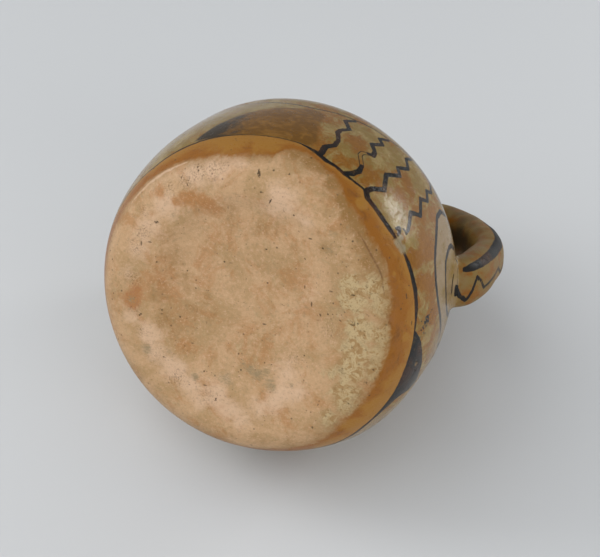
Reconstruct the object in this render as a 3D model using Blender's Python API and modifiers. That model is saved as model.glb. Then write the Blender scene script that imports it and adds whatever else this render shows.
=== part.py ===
"""Bi-lobe handled jar: a hand-built clay jar with two stacked lobes and one strap handle.

The jar stands upright on its underside. Metres, +Z up, the handle towards +X. The origin lies on the
surface that the jar stands on, at the middle of the whole jar's length and width.
"""
import math

import bmesh
import bpy
from mathutils import Vector
from mathutils.geometry import interpolate_bezier

# Lower lobe: radii are to the outside of the wall, rises are heights between one circle and the next
LOWER_LOBE_RADIUS = 0.0900
LOWER_LOBE_RISE = 0.0711
FOOT_RADIUS = 0.0625
HEEL_POWER_UP = 2.6
HEEL_POWER_OUT = 2.3

# Waist, upper lobe, neck and lip
WAIST_RADIUS = 0.0430
WAIST_RISE = 0.0509
UPPER_LOBE_RADIUS = 0.0550
UPPER_LOBE_RISE = 0.0290
NECK_RADIUS = 0.0405
NECK_RISE = 0.0270
LIP_RADIUS = 0.0450
LIP_RISE = 0.0120

# How far the side keeps to the vertical at each of those circles, below it and above it
SHOULDER_SWELL = 0.0350
WAIST_HOLLOW_BELOW = 0.0075
WAIST_HOLLOW_ABOVE = 0.0060
UPPER_LOBE_SWELL_BELOW = 0.0130
UPPER_LOBE_SWELL_ABOVE = 0.0150
NECK_HOLLOW_BELOW = 0.0070
NECK_HOLLOW_ABOVE = 0.0050
LIP_UPRIGHT = 0.0020

# Wall, floor and the dimple pressed off centre into the underside
WALL = 0.0055
FLOOR_THICKNESS = 0.0065
DIMPLE_DEPTH = 0.0045
DIMPLE_OFFSET = 0.0060
DIMPLE_AZIMUTH = math.radians(-49.0)
STANDING_RING_WIDTH = 0.0045

# Strap handle, from the lower lobe's shoulder to the upper lobe. Rises are above the widest circle of the
# lower lobe for its foot, above the waist for its bend and above the widest circle of the upper lobe for its head
HANDLE_WIDTH = 0.0245
HANDLE_THICKNESS = 0.0178
HANDLE_SECTION_POWER = 2.5
HANDLE_FOOT_RISE = 0.0115
HANDLE_FOOT_ANGLE = math.radians(23.0)
HANDLE_FOOT_LEAD = 0.0094
HANDLE_PROJECTION = 0.0042
HANDLE_BEND_RISE = 0.0018
HANDLE_BEND_LEAD_BELOW = 0.0160
HANDLE_BEND_LEAD_ABOVE = 0.0163
HANDLE_HEAD_RISE = 0.0165
HANDLE_HEAD_ANGLE = math.radians(27.0)
HANDLE_HEAD_LEAD = 0.0224
HANDLE_ROOT_LENGTH = 0.0180
FOOT_FLARE = 1.15
HEAD_FLARE = 1.12

# Facets
TURNS = 48
HEEL_FACETS = 11
SHOULDER_FACETS = 10
CURVE_FACETS = 6
LIP_FACETS = 4
DIMPLE_FACETS = 6
SECTION_POINTS = 16
HANDLE_FACETS = 8

# Distance that cutters run past the surfaces they cut, and the limit below which points are merged
OVERRUN = 0.004
MERGE_DISTANCE = 0.00001

CLAY_COLOUR = (0.52, 0.33, 0.20, 1.0)
CLAY_ROUGHNESS = 0.38

WAIST_LEVEL = LOWER_LOBE_RISE + WAIST_RISE
UPPER_LOBE_LEVEL = WAIST_LEVEL + UPPER_LOBE_RISE
NECK_LEVEL = UPPER_LOBE_LEVEL + NECK_RISE
LIP_LEVEL = NECK_LEVEL + LIP_RISE
FLOOR_LEVEL = DIMPLE_DEPTH + FLOOR_THICKNESS
BEND_RADIUS = LOWER_LOBE_RADIUS + HANDLE_PROJECTION
HANDLE_REACH = BEND_RADIUS + HANDLE_THICKNESS / 2
AXIS_X = (LOWER_LOBE_RADIUS - HANDLE_REACH) / 2


def clear_scene():
    for item in list(bpy.data.objects):
        bpy.data.objects.remove(item, do_unlink=True)


def make_collection(name):
    collection = bpy.data.collections.new(name)
    bpy.context.scene.collection.children.link(collection)
    return collection


def make_clay():
    material = bpy.data.materials.new("burnished_clay")
    material.use_nodes = True
    shader = material.node_tree.nodes["Principled BSDF"]
    shader.inputs["Base Color"].default_value = CLAY_COLOUR
    shader.inputs["Roughness"].default_value = CLAY_ROUGHNESS
    shader.inputs["Metallic"].default_value = 0.0
    return material


def heel_curve():
    """Outer side from the edge of the foot up to the widest circle, as a superellipse quarter."""
    run = LOWER_LOBE_RADIUS - FOOT_RADIUS
    points = []
    for step in range(HEEL_FACETS + 1):
        turn = math.pi / 2 * step / HEEL_FACETS
        radius = FOOT_RADIUS + run * math.sin(turn) ** (2 / HEEL_POWER_OUT)
        level = LOWER_LOBE_RISE * (1 - math.cos(turn) ** (2 / HEEL_POWER_UP))
        points.append(Vector((radius, level)))
    return points


def side_curve(low, lead_up, high, lead_down, facets=CURVE_FACETS):
    """Smooth side between two circles, upright at both, without its first point."""
    knots = (low, low + Vector((0, lead_up)), high - Vector((0, lead_down)), high)
    flat = [Vector((knot.x, knot.y, 0)) for knot in knots]
    return [point.to_2d() for point in interpolate_bezier(*flat, facets + 1)[1:]]


def outer_side():
    """Outer side of the wall from the foot up to the lip."""
    widest = Vector((LOWER_LOBE_RADIUS, LOWER_LOBE_RISE))
    waist = Vector((WAIST_RADIUS, WAIST_LEVEL))
    upper = Vector((UPPER_LOBE_RADIUS, UPPER_LOBE_LEVEL))
    neck = Vector((NECK_RADIUS, NECK_LEVEL))
    lip = Vector((LIP_RADIUS, LIP_LEVEL))
    points = heel_curve()
    points += side_curve(widest, SHOULDER_SWELL, waist, WAIST_HOLLOW_BELOW, SHOULDER_FACETS)
    points += side_curve(waist, WAIST_HOLLOW_ABOVE, upper, UPPER_LOBE_SWELL_BELOW)
    points += side_curve(upper, UPPER_LOBE_SWELL_ABOVE, neck, NECK_HOLLOW_BELOW)
    points += side_curve(neck, NECK_HOLLOW_ABOVE, lip, LIP_UPRIGHT)
    return points


def inward(points, index):
    """Unit vector into the wall, square to the side at one of its points."""
    if index == 0:
        return Vector((0, 1))
    along = points[min(index + 1, len(points) - 1)] - points[index - 1]
    return Vector((-along.y, along.x)).normalized()


def inset_side(points, share):
    """The outer side moved into the wall by a share of its thickness, which grows towards the floor."""
    inset = []
    for index, point in enumerate(points):
        low = max(0.0, 1 - point.y / LOWER_LOBE_RISE)
        thickness = WALL + (FLOOR_LEVEL - WALL) * low ** HEEL_POWER_UP
        inset.append(point + inward(points, index) * thickness * share)
    return inset


def lip_curve(points):
    """Half round over the top of the wall, from the inside to the outside, without its end points."""
    across = inward(points, len(points) - 1)
    up = Vector((across.y, -across.x))
    middle = points[-1] + across * WALL / 2
    curve = []
    for step in range(1, LIP_FACETS):
        turn = math.pi * step / LIP_FACETS
        curve.append(middle + (across * math.cos(turn) + up * math.sin(turn)) * WALL / 2)
    return curve


def turned(name, profile, collection, frame):
    """An object turned round the jar's axis from a profile of (radius, level) points."""
    mesh = bpy.data.meshes.new(name)
    edges = [(index, index + 1) for index in range(len(profile) - 1)]
    mesh.from_pydata([(point.x, 0, point.y) for point in profile], edges, [])
    item = bpy.data.objects.new(name, mesh)
    item.parent = frame
    collection.objects.link(item)
    screw = item.modifiers.new("turn", "SCREW")
    screw.axis = "Z"
    screw.steps = TURNS
    screw.render_steps = TURNS
    screw.use_merge_vertices = True
    screw.merge_threshold = MERGE_DISTANCE
    screw.use_smooth_shade = True
    return item


def as_cutter(item):
    item.hide_render = True
    item.display_type = "WIRE"
    return item


def add_boolean(item, name, operation, other):
    modifier = item.modifiers.new(name, "BOOLEAN")
    modifier.operation = operation
    modifier.solver = "EXACT"
    modifier.object = other


def make_shell(collection, frame):
    """Hollow body: floor, inside of the wall, lip and outside of the wall in one profile."""
    outside = outer_side()
    profile = [Vector((0, FLOOR_LEVEL))]
    profile += inset_side(outside, 1.0)
    profile += lip_curve(outside)
    profile += reversed(outside)
    profile.append(Vector((0, 0)))
    return turned("jar", profile, collection, frame)


def make_dimple(collection, frame):
    """Lens of clay that the dimple leaves out of the underside."""
    radius = FOOT_RADIUS - STANDING_RING_WIDTH - DIMPLE_OFFSET
    ball = (radius ** 2 + DIMPLE_DEPTH ** 2) / (2 * DIMPLE_DEPTH)
    spread = math.asin(radius / ball)
    profile = []
    for step in range(DIMPLE_FACETS + 1):
        turn = spread * step / DIMPLE_FACETS
        profile.append(Vector((ball * math.sin(turn), DIMPLE_DEPTH - ball * (1 - math.cos(turn)))))
    profile.append(Vector((radius, -OVERRUN)))
    profile.append(Vector((0, -OVERRUN)))
    dimple = as_cutter(turned("dimple", profile, collection, frame))
    dimple.location.x = DIMPLE_OFFSET * math.cos(DIMPLE_AZIMUTH)
    dimple.location.y = DIMPLE_OFFSET * math.sin(DIMPLE_AZIMUTH)
    return dimple


def make_root_cutter(collection, frame):
    """Solid that fills the jar out to the middle of its wall, where the handle's roots end."""
    middle = inset_side(outer_side(), 0.5)
    profile = [Vector((0, middle[-1].y))]
    profile += reversed(middle)
    profile.append(Vector((0, middle[0].y)))
    return as_cutter(turned("handle_root_cutter", profile, collection, frame))


def side_radius(level):
    """Radius of the middle of the wall at a level."""
    middle = inset_side(outer_side(), 0.5)
    for low, high in zip(middle, middle[1:]):
        if low.y <= level <= high.y:
            share = (level - low.y) / (high.y - low.y)
            return low.x + (high.x - low.x) * share
    return middle[-1].x


def handle_section(collection):
    """Cross section of the strap: a rounded oblong."""
    curve = bpy.data.curves.new("handle_section", "CURVE")
    spline = curve.splines.new("POLY")
    spline.points.add(SECTION_POINTS - 1)
    for index, point in enumerate(spline.points):
        turn = 2 * math.pi * index / SECTION_POINTS
        reach = []
        for value in (math.cos(turn), math.sin(turn)):
            reach.append(math.copysign(abs(value) ** (2 / HANDLE_SECTION_POWER), value))
        point.co = (reach[0] * HANDLE_WIDTH / 2, reach[1] * HANDLE_THICKNESS / 2, 0, 1)
    spline.use_cyclic_u = True
    section = bpy.data.objects.new("handle_section", curve)
    collection.objects.link(section)
    return section


def handle_knots():
    """Knots of the handle's middle line: place, lead before, lead after and flare."""
    foot_level = LOWER_LOBE_RISE + HANDLE_FOOT_RISE
    head_level = UPPER_LOBE_LEVEL + HANDLE_HEAD_RISE
    foot = Vector((side_radius(foot_level), 0, foot_level))
    bend = Vector((BEND_RADIUS, 0, WAIST_LEVEL + HANDLE_BEND_RISE))
    head = Vector((side_radius(head_level), 0, head_level))
    leave = Vector((math.cos(HANDLE_FOOT_ANGLE), 0, math.sin(HANDLE_FOOT_ANGLE)))
    arrive = Vector((-math.cos(HANDLE_HEAD_ANGLE), 0, -math.sin(HANDLE_HEAD_ANGLE)))
    up = Vector((0, 0, 1))
    root = HANDLE_ROOT_LENGTH
    return [
        (foot - leave * root, -leave * root / 3, leave * root / 3, FOOT_FLARE),
        (foot, -leave * root / 3, leave * HANDLE_FOOT_LEAD, FOOT_FLARE),
        (bend, -up * HANDLE_BEND_LEAD_BELOW, up * HANDLE_BEND_LEAD_ABOVE, 1.0),
        (head, -arrive * HANDLE_HEAD_LEAD, arrive * root / 3, HEAD_FLARE),
        (head + arrive * root, -arrive * root / 3, arrive * root / 3, HEAD_FLARE),
    ]


def handle_curve(collection):
    curve = bpy.data.curves.new("handle_line", "CURVE")
    curve.dimensions = "3D"
    curve.twist_mode = "MINIMUM"
    curve.resolution_u = HANDLE_FACETS
    curve.bevel_mode = "OBJECT"
    curve.bevel_object = handle_section(collection)
    curve.use_fill_caps = True
    knots = handle_knots()
    spline = curve.splines.new("BEZIER")
    spline.bezier_points.add(len(knots) - 1)
    for point, (place, before, after, flare) in zip(spline.bezier_points, knots):
        point.co = place
        point.handle_left_type = "FREE"
        point.handle_right_type = "FREE"
        point.handle_left = place + before
        point.handle_right = place + after
        point.radius = flare
    line = bpy.data.objects.new("handle_line", curve)
    collection.objects.link(line)
    return line


def make_handle(collection, frame, root_cutter):
    """Strap handle as a closed mesh, with its roots cut off inside the jar's wall."""
    line = handle_curve(collection)
    section = line.data.bevel_object
    graph = bpy.context.evaluated_depsgraph_get()
    mesh = bpy.data.meshes.new_from_object(line.evaluated_get(graph))
    build = bmesh.new()
    build.from_mesh(mesh)
    bmesh.ops.remove_doubles(build, verts=build.verts, dist=MERGE_DISTANCE)
    bmesh.ops.recalc_face_normals(build, faces=build.faces)
    build.to_mesh(mesh)
    build.free()
    mesh.shade_smooth()
    handle = bpy.data.objects.new("strap_handle", mesh)
    handle.matrix_world = line.matrix_world
    handle.parent = frame
    collection.objects.link(handle)
    bpy.data.objects.remove(line, do_unlink=True)
    bpy.data.objects.remove(section, do_unlink=True)
    add_boolean(handle, "trim_roots", "DIFFERENCE", root_cutter)
    return as_cutter(handle)


def build_jar():
    clear_scene()
    parts = make_collection("bi_lobe_handled_jar")
    cutters = make_collection("cutters")
    frame = bpy.data.objects.new("jar_axis", None)
    frame.location.x = AXIS_X
    parts.objects.link(frame)
    jar = make_shell(parts, frame)
    jar.data.materials.append(make_clay())
    add_boolean(jar, "dimple", "DIFFERENCE", make_dimple(cutters, frame))
    handle = make_handle(cutters, frame, make_root_cutter(cutters, frame))
    add_boolean(jar, "handle", "UNION", handle)


build_jar()
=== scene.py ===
"""Looks of the bi-lobe handled jar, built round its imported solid.

One dense mesh stands for the jar. Its form follows the same named sizes as the solid, with the unevenness
of hand-built clay. Painted lines and fields are distances stored on the mesh, which the clay material turns
into worn paint. Metres, +Z up, the handle towards +X, as in the frame.
"""

import functools
import math

import bmesh
import bpy
import numpy as np
from mathutils import Matrix, Vector, bvhtree, kdtree


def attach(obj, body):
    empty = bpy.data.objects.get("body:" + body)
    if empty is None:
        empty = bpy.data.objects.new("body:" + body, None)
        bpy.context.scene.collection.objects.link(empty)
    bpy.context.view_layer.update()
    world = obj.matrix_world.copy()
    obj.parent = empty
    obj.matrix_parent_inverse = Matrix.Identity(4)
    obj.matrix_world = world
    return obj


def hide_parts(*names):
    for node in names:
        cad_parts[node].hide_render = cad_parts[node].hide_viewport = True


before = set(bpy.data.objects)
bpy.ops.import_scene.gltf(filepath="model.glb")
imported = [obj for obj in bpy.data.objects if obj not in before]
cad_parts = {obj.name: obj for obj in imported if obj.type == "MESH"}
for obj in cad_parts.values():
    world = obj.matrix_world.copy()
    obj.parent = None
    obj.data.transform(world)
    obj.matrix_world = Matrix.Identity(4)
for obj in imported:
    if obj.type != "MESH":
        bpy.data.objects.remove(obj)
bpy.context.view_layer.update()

MM = 0.001

# The solid's sizes: radii are to the outside of the wall, rises are heights between one circle and the next
LOWER_LOBE_RADIUS = 90.0 * MM
LOWER_LOBE_RISE = 71.1 * MM
FOOT_RADIUS = 62.5 * MM
HEEL_POWER_UP = 2.6
HEEL_POWER_OUT = 2.3
WAIST_RADIUS = 43.0 * MM
WAIST_RISE = 50.9 * MM
UPPER_LOBE_RADIUS = 55.0 * MM
UPPER_LOBE_RISE = 29.0 * MM
NECK_RADIUS = 40.5 * MM
NECK_RISE = 27.0 * MM
LIP_RADIUS = 45.0 * MM
LIP_RISE = 12.0 * MM
SHOULDER_SWELL = 35.0 * MM
WAIST_HOLLOW_BELOW = 7.5 * MM
WAIST_HOLLOW_ABOVE = 6.0 * MM
UPPER_LOBE_SWELL_BELOW = 13.0 * MM
UPPER_LOBE_SWELL_ABOVE = 15.0 * MM
NECK_HOLLOW_BELOW = 7.0 * MM
NECK_HOLLOW_ABOVE = 5.0 * MM
LIP_UPRIGHT = 2.0 * MM
WALL = 5.5 * MM
FLOOR_THICKNESS = 6.5 * MM
DIMPLE_DEPTH = 4.5 * MM

WAIST_LEVEL = LOWER_LOBE_RISE + WAIST_RISE
UPPER_LOBE_LEVEL = WAIST_LEVEL + UPPER_LOBE_RISE
NECK_LEVEL = UPPER_LOBE_LEVEL + NECK_RISE
LIP_LEVEL = NECK_LEVEL + LIP_RISE
FLOOR_LEVEL = DIMPLE_DEPTH + FLOOR_THICKNESS

# Strap handle
HANDLE_WIDTH = 24.5 * MM
HANDLE_THICKNESS = 17.8 * MM
HANDLE_SECTION_POWER = 2.5
HANDLE_FOOT_LEVEL = LOWER_LOBE_RISE + 11.5 * MM
HANDLE_FOOT_ANGLE = math.radians(23.0)
HANDLE_FOOT_LEAD = 9.4 * MM
HANDLE_PROJECTION = 4.2 * MM
HANDLE_BEND_LEVEL = WAIST_LEVEL + 1.8 * MM
HANDLE_BEND_LEAD_BELOW = 16.0 * MM
HANDLE_BEND_LEAD_ABOVE = 16.3 * MM
HANDLE_HEAD_LEVEL = UPPER_LOBE_LEVEL + 16.5 * MM
HANDLE_HEAD_ANGLE = math.radians(27.0)
HANDLE_HEAD_LEAD = 22.4 * MM
HANDLE_ROOT_LENGTH = 18.0 * MM
FOOT_FLARE = 1.15
HEAD_FLARE = 1.12
BEND_RADIUS = LOWER_LOBE_RADIUS + HANDLE_PROJECTION
AXIS_X = (LOWER_LOBE_RADIUS - BEND_RADIUS - HANDLE_THICKNESS / 2) / 2

# Mesh spacing: rows along the profile, columns round the jar, closest where the photo shows the paint
UNDERSIDE_ROW = 1.05 * MM
CORE_RADIUS = 22.0 * MM
PAINTED_ROW = 0.9 * MM
SHOULDER_ROW = 2.0 * MM
UPPER_ROW = 2.2 * MM
INSIDE_ROW = 8.0 * MM
LIP_ROWS = 6
FLOOR_ROWS = 5
FINE_FROM = math.radians(-140.0)
FINE_TO = math.radians(62.0)
FINE_COLUMNS = 316
PLAIN_COLUMNS = 104
HANDLE_ROW = 1.0 * MM
HANDLE_COLUMNS = 88
HANDLE_CURVE_POINTS = 120
CUTTER_ROW = 4.0 * MM
CUTTER_COLUMNS = 120

# Camera, as fitted to the photo: the jar seen from below, its mouth pointing away to the upper right
PHOTO_WIDTH = 600
PHOTO_HEIGHT = 557
CAMERA_DISTANCE = 0.850
PIXELS_PER_METRE = 1889.0
VIEW_OFF_AXIS = math.radians(27.03)
MOUTH_DIRECTION = math.radians(43.75)
VIEW_AZIMUTH = math.radians(-49.0)
LOBE_CENTRE_PIXEL = (290.1, 265.5)
SENSOR_WIDTH = 36.0


def bezier(knots, shares):
    """Points of a cubic Bezier curve at the given shares of its parameter."""
    first, second, third, last = (np.asarray(knot, float) for knot in knots)
    share = np.asarray(shares)[:, None]
    rest = 1 - share
    return (
        first * rest ** 3
        + second * 3 * rest ** 2 * share
        + third * 3 * rest * share ** 2
        + last * share ** 3
    )


def spaced(points, spacing):
    """The same line with its points about one spacing apart, measured along its first two columns."""
    steps = np.linalg.norm(np.diff(points[:, :2], axis=0), axis=1)
    along = np.concatenate([[0], np.cumsum(steps)])
    count = max(2, int(round(along[-1] / spacing)) + 1)
    places = np.linspace(0, along[-1], count)
    return np.column_stack([np.interp(places, along, points[:, axis]) for axis in range(points.shape[1])])


def directions(line):
    """Unit direction of a line at each of its points, from its first two columns."""
    along = np.gradient(line[:, :2], axis=0)
    return along / np.linalg.norm(along, axis=1)[:, None]


def heel_curve():
    """Outer side from the edge of the foot up to the widest circle, as a superellipse quarter."""
    turn = np.linspace(0, math.pi / 2, 400)
    run = LOWER_LOBE_RADIUS - FOOT_RADIUS
    radius = FOOT_RADIUS + run * np.sin(turn) ** (2 / HEEL_POWER_OUT)
    level = LOWER_LOBE_RISE * (1 - np.clip(np.cos(turn), 0, 1) ** (2 / HEEL_POWER_UP))
    return np.column_stack([radius, level])


def side_curve(low, lead_up, high, lead_down):
    """Smooth side between two circles, upright at both."""
    knots = (low, (low[0], low[1] + lead_up), (high[0], high[1] - lead_down), high)
    return bezier(knots, np.linspace(0, 1, 200))


def outer_stretches():
    """Outside of the wall in four stretches: heel, shoulder, upper lobe, neck and lip."""
    widest = (LOWER_LOBE_RADIUS, LOWER_LOBE_RISE)
    waist = (WAIST_RADIUS, WAIST_LEVEL)
    upper = (UPPER_LOBE_RADIUS, UPPER_LOBE_LEVEL)
    neck = (NECK_RADIUS, NECK_LEVEL)
    lip = (LIP_RADIUS, LIP_LEVEL)
    return [
        heel_curve(),
        side_curve(widest, SHOULDER_SWELL, waist, WAIST_HOLLOW_BELOW),
        np.vstack([
            side_curve(waist, WAIST_HOLLOW_ABOVE, upper, UPPER_LOBE_SWELL_BELOW),
            side_curve(upper, UPPER_LOBE_SWELL_ABOVE, neck, NECK_HOLLOW_BELOW)[1:],
        ]),
        side_curve(neck, NECK_HOLLOW_ABOVE, lip, LIP_UPRIGHT),
    ]


def joined(stretches):
    """One line from stretches that meet end to end."""
    return np.vstack([stretches[0]] + [stretch[1:] for stretch in stretches[1:]])


SIDE = joined(outer_stretches())


def inset_side(side, share):
    """The outer side moved into the wall by a share of its thickness, which grows towards the floor."""
    along = directions(side)
    along[0] = (1, 0)
    inward = np.column_stack([-along[:, 1], along[:, 0]])
    low = np.clip(1 - side[:, 1] / LOWER_LOBE_RISE, 0, 1)
    thickness = WALL + (FLOOR_LEVEL - WALL) * low ** HEEL_POWER_UP
    return side + inward * (thickness * share)[:, None]


def lip_curve(side):
    """Half round over the top of the wall, from the outside to the inside, without its end points."""
    along = side[-1] - side[-2]
    up = along / np.linalg.norm(along)
    across = np.array([-up[1], up[0]])
    turn = np.linspace(0, math.pi, LIP_ROWS + 2)[1:-1]
    middle = side[-1] + across * WALL / 2
    return middle + (np.outer(-np.cos(turn), across) + np.outer(np.sin(turn), up)) * WALL / 2


def side_radius(levels, share=0.0):
    """Radius of the wall at the given levels, at a share of the way through it."""
    line = SIDE if share == 0 else inset_side(SIDE, share)
    return np.interp(levels, line[:, 1], line[:, 0])


def waves(places, wavelength, seed, count=9):
    """Smooth unevenness from -1 to 1: a sum of sine waves in all directions, the same each run."""
    source = np.random.default_rng(seed)
    total = np.zeros(len(places))
    for _ in range(count):
        direction = source.normal(size=3)
        direction /= np.linalg.norm(direction)
        stretch = source.uniform(0.7, 1.5)
        phase = source.uniform(0, 2 * math.pi)
        total += np.sin(places @ direction * (2 * math.pi / (wavelength * stretch)) + phase)
    return np.clip(total / math.sqrt(count) / 1.4, -1, 1)


def smooth_step(value, start, end):
    share = np.clip((value - start) / (end - start), 0, 1)
    return share * share * (3 - 2 * share)


def column_azimuths():
    fine = np.linspace(FINE_FROM, FINE_TO, FINE_COLUMNS, endpoint=False)
    plain = np.linspace(FINE_TO, FINE_FROM + 2 * math.pi, PLAIN_COLUMNS, endpoint=False)
    return np.concatenate([fine, plain])


# The photo's dimple: its soft edge runs a little further out than the solid's, and is steeper on one side
DIMPLE_EDGE_RADIUS = 54.0 * MM
DIMPLE_SHIFT = 8.3 * MM
DIMPLE_AZIMUTH = math.radians(-57.0)
DIMPLE_STEEP_SHARE = 0.85
DIMPLE_STEEP_AZIMUTH = math.radians(-160.0)


def underside_hollow(places):
    """How far the underside is pressed up at each place: the dimple and the unevenness in it."""
    shift = DIMPLE_SHIFT * np.array([math.cos(DIMPLE_AZIMUTH), math.sin(DIMPLE_AZIMUTH)])
    middle = shift + (AXIS_X, 0)
    out = np.linalg.norm(places[:, :2] - middle, axis=1) / DIMPLE_EDGE_RADIUS
    turn = np.arctan2(places[:, 1] - middle[1], places[:, 0] - middle[0])
    steep = DIMPLE_STEEP_SHARE * (0.5 + 0.5 * np.cos(turn - DIMPLE_STEEP_AZIMUTH))
    bowl = np.clip(1 - out ** 2, 0, 1) ** 1.6 * (1 - steep) + smooth_step(out, 1.0, 0.78) * steep
    uneven = waves(places, 38 * MM, 3) * 0.35 * MM + waves(places, 15 * MM, 4) * 0.12 * MM
    return DIMPLE_DEPTH * bowl + (uneven + 0.25 * MM) * smooth_step(out, 1.05, 0.7)


# Where the photo's jar is out of round: degrees round it and their spread, then height, its spread and how
# far out, in millimetres. The last is a thin ridge that burnishing left along the heel
OUT_OF_ROUND = [(46, 26, 28, 26, 2.6), (10, 12, 70, 18, -1.5), (-128, 16, 6.4, 1.4, 0.9)]


def hand_sway(places, level):
    """How far the hand-built wall lies inside the true circle at each place."""
    azimuth = np.degrees(np.arctan2(places[:, 1], places[:, 0] - AXIS_X))
    sway = waves(places, 120 * MM, 11) * 0.5 + waves(places, 45 * MM, 12) * 0.22
    inwards = 0.62 * MM + sway * 0.6 * MM
    for middle, spread, height, rise, out in OUT_OF_ROUND:
        share = np.exp(-((azimuth - middle) / spread) ** 2 - ((level / MM - height) / rise) ** 2)
        inwards -= out * MM * share
    return inwards * smooth_step(level, 0, 12 * MM)


def ring_faces(lower, upper):
    """Faces between two rings of corners, where one may have twice as many corners as the other."""
    if len(lower) == len(upper):
        return np.stack([lower, np.roll(lower, -1), np.roll(upper, -1), upper], axis=1).tolist()
    if len(lower) == 2 * len(upper):
        first, second, third = lower[::2], lower[1::2], np.roll(lower, -2)[::2]
        after = np.roll(upper, -1)
        threes = [(first, second, upper), (second, after, upper), (second, third, after)]
    else:
        first, second, third = upper[::2], upper[1::2], np.roll(upper, -2)[::2]
        after = np.roll(lower, -1)
        threes = [(second, first, lower), (after, second, lower), (third, second, after)]
    return np.vstack([np.stack(three, axis=1) for three in threes]).tolist()


def body_rings():
    """Rings of the turned body from the underside's middle, up the outside, down the inside to the floor."""
    heel, shoulder, upper, neck = outer_stretches()
    rings = []
    for step in range(1, round(FOOT_RADIUS / UNDERSIDE_ROW)):
        radius = step * UNDERSIDE_ROW
        rings.append((radius, 0.0, 4 if radius < CORE_RADIUS / 3 else 2 if radius < CORE_RADIUS else 1))
    lower_side = joined([spaced(heel, PAINTED_ROW), spaced(shoulder, SHOULDER_ROW)])
    for radius, level in lower_side:
        rings.append((radius, level, 1 if radius > UPPER_LOBE_RADIUS else 2))
    inside = spaced(inset_side(SIDE, 1.0)[::-1], INSIDE_ROW)
    floor_radii = np.linspace(inside[-1, 0], 0, FLOOR_ROWS + 1)[1:-1]
    rest = np.vstack([
        spaced(upper, UPPER_ROW)[1:],
        spaced(neck, UPPER_ROW)[1:],
        lip_curve(SIDE),
        inside,
        np.column_stack([floor_radii, np.full(len(floor_radii), inside[-1, 1])]),
    ])
    rings += [(radius, level, 2) for radius, level in rest]
    return rings


def turned(turn, radius, level):
    """Places at the given turns, radii and levels round an upright axis."""
    return np.column_stack([radius * np.cos(turn), radius * np.sin(turn), np.full(len(turn), level)])


def new_mesh(name, places, faces):
    mesh = bpy.data.meshes.new(name)
    mesh.from_pydata(places.tolist(), [], faces)
    return mesh


def make_body():
    """Turned body with the unevenness of hand-built clay: underside, outside, lip, inside and floor."""
    azimuths = column_azimuths()
    places = []
    faces = []
    count = 0
    last = None
    rings = body_rings()
    for radius, level, thinning in rings:
        turn = azimuths[::thinning]
        places.append(turned(turn, radius, level))
        corners = np.arange(count, count + len(turn))
        count += len(turn)
        if last is None:
            faces += [(-1, int(b), int(a)) for a, b in zip(corners, np.roll(corners, -1))]
        else:
            faces += ring_faces(last, corners)
        last = corners
    low_pole = count
    high_pole = count + 1
    faces = [tuple(low_pole if corner == -1 else corner for corner in face) for face in faces]
    faces += [(high_pole, int(a), int(b)) for a, b in zip(last, np.roll(last, -1))]
    places.append(np.array([[0, 0, 0], [0, 0, rings[-1][1]]]))
    places = np.vstack(places)
    under = np.arange(len(places)) < sum(len(azimuths[::ring[2]]) for ring in rings if ring[1] == 0)
    under[low_pole] = True
    radius = np.hypot(places[:, 0], places[:, 1])
    level = places[:, 2].copy()
    places[:, 0] += AXIS_X
    places[under, 2] += underside_hollow(places)[under]
    shrink = 1 - hand_sway(places, level) / np.maximum(radius, MM)
    places[:, 0] = AXIS_X + (places[:, 0] - AXIS_X) * shrink
    places[:, 1] *= shrink
    return new_mesh("jar_body", places, faces)


def handle_line():
    """Middle line of the strap in the X-Z plane, with the flare of its section at each point."""
    foot = np.array([side_radius(HANDLE_FOOT_LEVEL, 0.5), HANDLE_FOOT_LEVEL])
    bend = np.array([BEND_RADIUS, HANDLE_BEND_LEVEL])
    head = np.array([side_radius(HANDLE_HEAD_LEVEL, 0.5), HANDLE_HEAD_LEVEL])
    leave = np.array([math.cos(HANDLE_FOOT_ANGLE), math.sin(HANDLE_FOOT_ANGLE)])
    arrive = np.array([-math.cos(HANDLE_HEAD_ANGLE), -math.sin(HANDLE_HEAD_ANGLE)])
    up = np.array([0, 1])
    shares = np.linspace(0, 1, HANDLE_CURVE_POINTS)
    below = bend - up * HANDLE_BEND_LEAD_BELOW
    above = bend + up * HANDLE_BEND_LEAD_ABOVE
    lower = bezier((foot, foot + leave * HANDLE_FOOT_LEAD, below, bend), shares)
    upper = bezier((bend, above, head - arrive * HANDLE_HEAD_LEAD, head), shares)
    root = HANDLE_ROOT_LENGTH
    line = np.vstack([(foot - leave * root)[None], lower, upper[1:], (head + arrive * root)[None]])
    grown = [FOOT_FLARE + (1 - FOOT_FLARE) * shares, 1 + (HEAD_FLARE - 1) * shares[1:]]
    flare = np.concatenate([[FOOT_FLARE], *grown, [HEAD_FLARE]])
    return spaced(np.column_stack([line, flare]), HANDLE_ROW)


def tube_mesh(name, places, columns):
    """Mesh through rings of corners that follow one another, with a flat face over each end."""
    corner = np.arange(len(places)).reshape(-1, columns)
    after = np.roll(corner, -1, axis=1)
    faces = np.stack([corner[:-1], after[:-1], after[1:], corner[1:]], axis=-1).reshape(-1, 4).tolist()
    faces.append(corner[0][::-1].tolist())
    faces.append(corner[-1].tolist())
    return new_mesh(name, places, faces)


def turns(columns):
    return np.arange(columns) * 2 * math.pi / columns


def strap_section(turn):
    """How far across the strap and out of it the surface lies, at the given turn round its section."""
    across = np.sign(np.cos(turn)) * np.abs(np.cos(turn)) ** (2 / HANDLE_SECTION_POWER) * HANDLE_WIDTH / 2
    out = np.sign(np.sin(turn)) * np.abs(np.sin(turn)) ** (2 / HANDLE_SECTION_POWER) * HANDLE_THICKNESS / 2
    return across, out


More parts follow.
